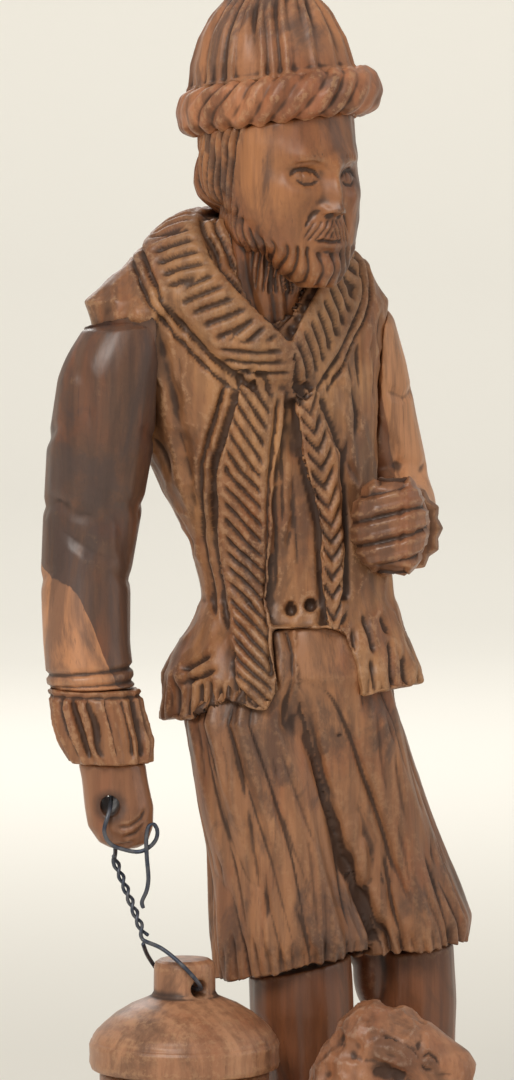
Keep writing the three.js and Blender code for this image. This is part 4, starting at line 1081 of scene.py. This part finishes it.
def makeLantern():
    top = lanternSizes["hole"][2] + 5.0
    lidTop = top - 6.6
    rimTop = lidTop - 8.0
    rim, body, neck = (lanternSizes[key] for key in ("rimRadius", "bodyRadius", "neckRadius"))
    rimLow = rimTop - 5.4
    foot = top - lanternSizes["high"]
    gap = lanternSizes["gap"]
    capProfile = [
        (0, rimLow + 3.3), (10.3, rimLow + 3.3), (10.3, rimLow), (rim - 1.1, rimLow),
        (rim - 0.3, rimLow + 0.3), (rim, rimLow + 1.1), (rim - 0.1, rimLow + 2.6),
        (rim, rimTop - 0.9), (rim - 0.25, rimTop - 0.35), (rim - 0.5, rimTop - 0.1),
        (rim - 0.7, rimTop + 0.5), (rim - 1.4, rimTop + 1.5), (rim - 2.6, rimTop + 2.7),
        (12.6, rimTop + 4.5), (9.8, rimTop + 6.2), (7.4, rimTop + 7.2),
        (neck + 0.5, rimTop + 7.8), (neck, rimTop + 8.6), (neck - 0.05, top - 1.6),
        (neck - 0.3, top - 0.7), (neck - 1.1, top - 0.15),
        (neck - 2.8, top + 0.0), (0, top + 0.0)]
    bodyProfile = [
        (0, foot), (body - 2.4, foot), (body - 1.5, foot + 0.5), (body - 1.2, foot + 1.4),
        (body - 1.5, foot + 2.4), (body - 2.2, foot + 3.2), (body - 1.3, foot + 4.0),
        (body - 0.5, foot + 5.2), (body - 0.1, foot + 9), (body, foot + 16),
        (body - 0.05, rimLow - 8.6), (body - 0.5, rimLow - 8.1), (body - 0.8, rimLow - 7.7),
        (body - 0.5, rimLow - 7.3), (body - 0.1, rimLow - 6.8), (body - 0.1, rimLow - 4.8),
        (body - 0.5, rimLow - 4.4), (body - 0.2, rimLow - 4.0), (body - 0.3, rimLow - gap),
        (10, rimLow - gap), (10, rimLow + 3),
        (0, rimLow + 3)]
    spot = lanternSizes["hole"]
    cap = turnedForm("lanternCap", capProfile, spot)
    drill = bmesh.new()
    bmesh.ops.create_cone(drill, cap_ends=True, segments=48, radius1=lanternSizes["holeRadius"] * mm,
                          radius2=lanternSizes["holeRadius"] * mm, depth=20 * mm,
                          matrix=Matrix.Translation(Vector(spot) * mm) @ Matrix.Rotation(math.pi / 2, 4, "X"))
    drillPiece = newPiece("drill", drill)
    bore = cap.modifiers.new("bore", "BOOLEAN")
    bore.operation = "DIFFERENCE"
    bore.solver = "EXACT"
    bore.object = drillPiece
    finishedMesh(cap)
    bpy.data.objects.remove(drillPiece)
    body = turnedForm("lanternBody", bodyProfile, spot)
    for obj, seed in ((cap, 3), (body, 8)):
        form = {"obj": obj}
        refresh(form)
        for key in ("cut", "rise", "sap"):
            form[key] = np.zeros(len(form["co"]))
        co = form["co"]
        r = np.hypot(co[:, 0] - spot[0], co[:, 1] - spot[1])
        outside = ease(r, 3, 5) * ease(-np.abs(co[:, 2] - rimLow) + 1.4 + (r > 11) * 6, 0, 1)
        wobble(form, 7, 0.16, (1, 1, 1), seed, outside)
        scoops(form, 3.0, 0.08, outside, (1, 1, 0.8), seed, 0.05)
        z = co[:, 2]
        # painted shade in the turned grooves and in the drilled hole
        for height in (rimTop - 0.5, lidTop - 0.1, rimLow - 7.7, rimLow - 4.4, rimLow - 0.2, foot + 3.2):
            groove = np.clip(1 - np.abs(z - height) / 0.7, 0, 1) * 0.8 * (r < rim - 0.4)
            form["cut"] = np.maximum(form["cut"], groove)
        hole = np.hypot(co[:, 0] - spot[0], z - spot[2])
        form["cut"] = np.maximum(form["cut"], np.clip(1.6 - hole / 2.0, 0, 1) * (z > lidTop - 1))
        form["rise"] = ease(softNoise(co / 6, 3), 0.55, 0.8) * 0.6
        bank(form)
    return cap, body


lanternCap, lanternBody = makeLantern()
lanternCapWood = woodFinish("lanternCapWood", woodOf(
    light=tint(190, 138, 102), mid=tint(160, 108, 76), tooth=0.4, gloss=0.38, varnish=0.3))
lanternBodyWood = woodFinish("lanternBodyWood", woodOf(
    light=tint(160, 104, 64), mid=tint(136, 84, 50), dustShare=0.3, tooth=0.4, gloss=0.38,
    varnish=0.3))
dress(lanternCap, "lantern", ["lantern_cap"], lanternCapWood)
dress(lanternBody, "lantern", ["lantern_body"], lanternBodyWood)
print("lantern turned")


# wire

def wireFinish():
    mat = bpy.data.materials.new("wireFinish")
    mat.use_nodes = True
    nodes, links = mat.node_tree.nodes, mat.node_tree.links
    shader = nodes["Principled BSDF"]
    shader.inputs["Metallic"].default_value = 0.75
    place = nodes.new("ShaderNodeTexCoord").outputs["Object"]
    rust = nodes.new("ShaderNodeTexNoise")
    rust.inputs["Scale"].default_value = 700
    rust.inputs["Detail"].default_value = 5
    links.new(place, rust.inputs["Vector"])
    span = nodes.new("ShaderNodeMapRange")
    span.inputs[1].default_value = 0.4
    span.inputs[2].default_value = 0.7
    links.new(rust.outputs[0], span.inputs[0])
    colours = nodes.new("ShaderNodeMix")
    colours.data_type = "RGBA"
    colours.inputs[6].default_value = tint(72, 78, 92)
    colours.inputs[7].default_value = tint(112, 112, 116)
    links.new(span.outputs[0], colours.inputs[0])
    links.new(colours.outputs[2], shader.inputs["Base Color"])
    rough = nodes.new("ShaderNodeMapRange")
    rough.inputs[3].default_value = 0.36
    rough.inputs[4].default_value = 0.58
    links.new(rust.outputs[0], rough.inputs[0])
    links.new(rough.outputs[0], shader.inputs["Roughness"])
    bump = nodes.new("ShaderNodeBump")
    bump.inputs["Strength"].default_value = 0.3
    bump.inputs["Distance"].default_value = 0.00008
    links.new(rust.outputs[0], bump.inputs["Height"])
    links.new(bump.outputs[0], shader.inputs["Normal"])
    return mat


wireMat = wireFinish()
wireSizes = {"draw": 0.24, "start": (-38.28, 9.63, 90.0), "end": (-36.7, 1.2, 76.7)}
twistStart = Vector(wireSizes["start"]) * mm
twistRun = Vector(wireSizes["end"]) * mm - twistStart
twistLong = twistRun.length
twistRun.normalize()
for pieceName, nodeName in (("hangerWire", "hanger_wire"), ("lanternLoop", "lantern_loop")):
    bm = bmesh.new()
    bm.from_mesh(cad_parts[nodeName].data)
    bmesh.ops.remove_doubles(bm, verts=bm.verts, dist=2e-6)
    bm.normal_update()
    for vert in bm.verts:
        vert.co += vert.normal * 0.05 * mm
        t = (vert.co - twistStart).dot(twistRun)
        if 0.5 * mm < t < twistLong - 0.5 * mm:
            spoke = vert.co - twistStart - twistRun * t
            if spoke.length < 1.3 * mm:
                vert.co -= spoke * min(wireSizes["draw"] * mm / spoke.length, 0.6)
    wire = newPiece(pieceName, bm)
    rounder = wire.modifiers.new("round", "SUBSURF")
    rounder.levels = rounder.render_levels = 2
    finishedMesh(wire)
    wire.data.shade_smooth()
    dress(wire, "hanger", [nodeName], wireMat)
print("wire bent")


# stage, light and camera

def plainStage():
    bm = bmesh.new()
    outline = [(0.0, 0.0), (1.9, 0.0), (2.4, 0.05), (2.75, 0.2), (2.95, 0.5), (2.98, 0.64)]
    verts = [bm.verts.new((x, 0, z)) for x, z in outline]
    for a, b in zip(verts[:-1], verts[1:]):
        bm.edges.new((a, b))
    bmesh.ops.spin(bm, geom=bm.verts[:] + bm.edges[:], cent=(0, 0, 0), axis=(0, 0, 1), angle=2 * math.pi,
                   steps=96, use_merge=True)
    bmesh.ops.remove_doubles(bm, verts=bm.verts, dist=1e-5)
    rise = Vector((0.5, 0.866, 0))     # the paper curves up on this side only
    for vert in bm.verts:
        out = math.hypot(vert.co.x, vert.co.y)
        if out > 2:     # the flat middle stays
            up = min(max((vert.co.dot(rise) / out + 0.3) / 0.4, 0), 1)
            vert.co = Vector((vert.co.x * (2 - up), vert.co.y * (2 - up), vert.co.z * up))
    bmesh.ops.recalc_face_normals(bm, faces=bm.faces)
    floor = newPiece("studioFloor", bm)
    floor.data.shade_smooth()
    mat = bpy.data.materials.new("studioPaper")
    mat.use_nodes = True
    shader = mat.node_tree.nodes["Principled BSDF"]
    shader.inputs["Base Color"].default_value = tint(244, 241, 233)
    shader.inputs["Roughness"].default_value = 0.95
    shader.inputs["Specular IOR Level"].default_value = 0.1
    floor.data.materials.append(mat)


def aimed(obj, place, target):
    obj.location = place
    obj.rotation_euler = (Vector(target) - Vector(place)).to_track_quat("-Z", "Y").to_euler()
    bpy.context.scene.collection.objects.link(obj)


def softLight(name, place, size, power, colour, target=(-0.003, 0.01, 0.14)):
    data = bpy.data.lights.new(name, "AREA")
    data.shape = "DISK"
    data.size = size
    data.energy = power
    data.color = colour
    aimed(bpy.data.objects.new(name, data), place, target)


viewSizes = {"turn": viewTurn, "rise": 3.0, "distance": 0.9, "frameHigh": 0.1998,
             "target": (-0.0053, 0.01505, 0.1468)}


def lookFrom():
    a, e = math.radians(viewSizes["turn"]), math.radians(viewSizes["rise"])
    direction = Vector((math.sin(a) * math.cos(e), -math.cos(a) * math.cos(e), math.sin(e)))
    data = bpy.data.cameras.new("view")
    data.sensor_width = 36
    data.lens = 36 * viewSizes["distance"] / viewSizes["frameHigh"]
    camera = bpy.data.objects.new("view", data)
    target = Vector(viewSizes["target"])
    aimed(camera, target + direction * viewSizes["distance"], target)
    bpy.context.scene.camera = camera


plainStage()
softLight("keyLight", (-0.75, -0.55, 0.85), 0.5, 6.4, (1.0, 0.97, 0.92))
softLight("fillLight", (0.9, -0.7, 0.5), 0.8, 1.2, (0.95, 0.97, 1.0))
softLight("rimLight", (0.3, 1.1, 0.8), 0.7, 3.0, (1.0, 0.98, 0.95))
softLight("wallLight", (0.5, 0.8, 1.6), 1.2, 21, (1.0, 0.995, 0.985), (1.6, 2.75, 0.75))
world = bpy.data.worlds.new("studioAir")
world.use_nodes = True
world.node_tree.nodes["Background"].inputs[0].default_value = tint(250, 246, 238)
world.node_tree.nodes["Background"].inputs[1].default_value = 0.5
bpy.context.scene.world = world
bpy.context.scene.view_settings.view_transform = "Standard"
lookFrom()
print("stage set")
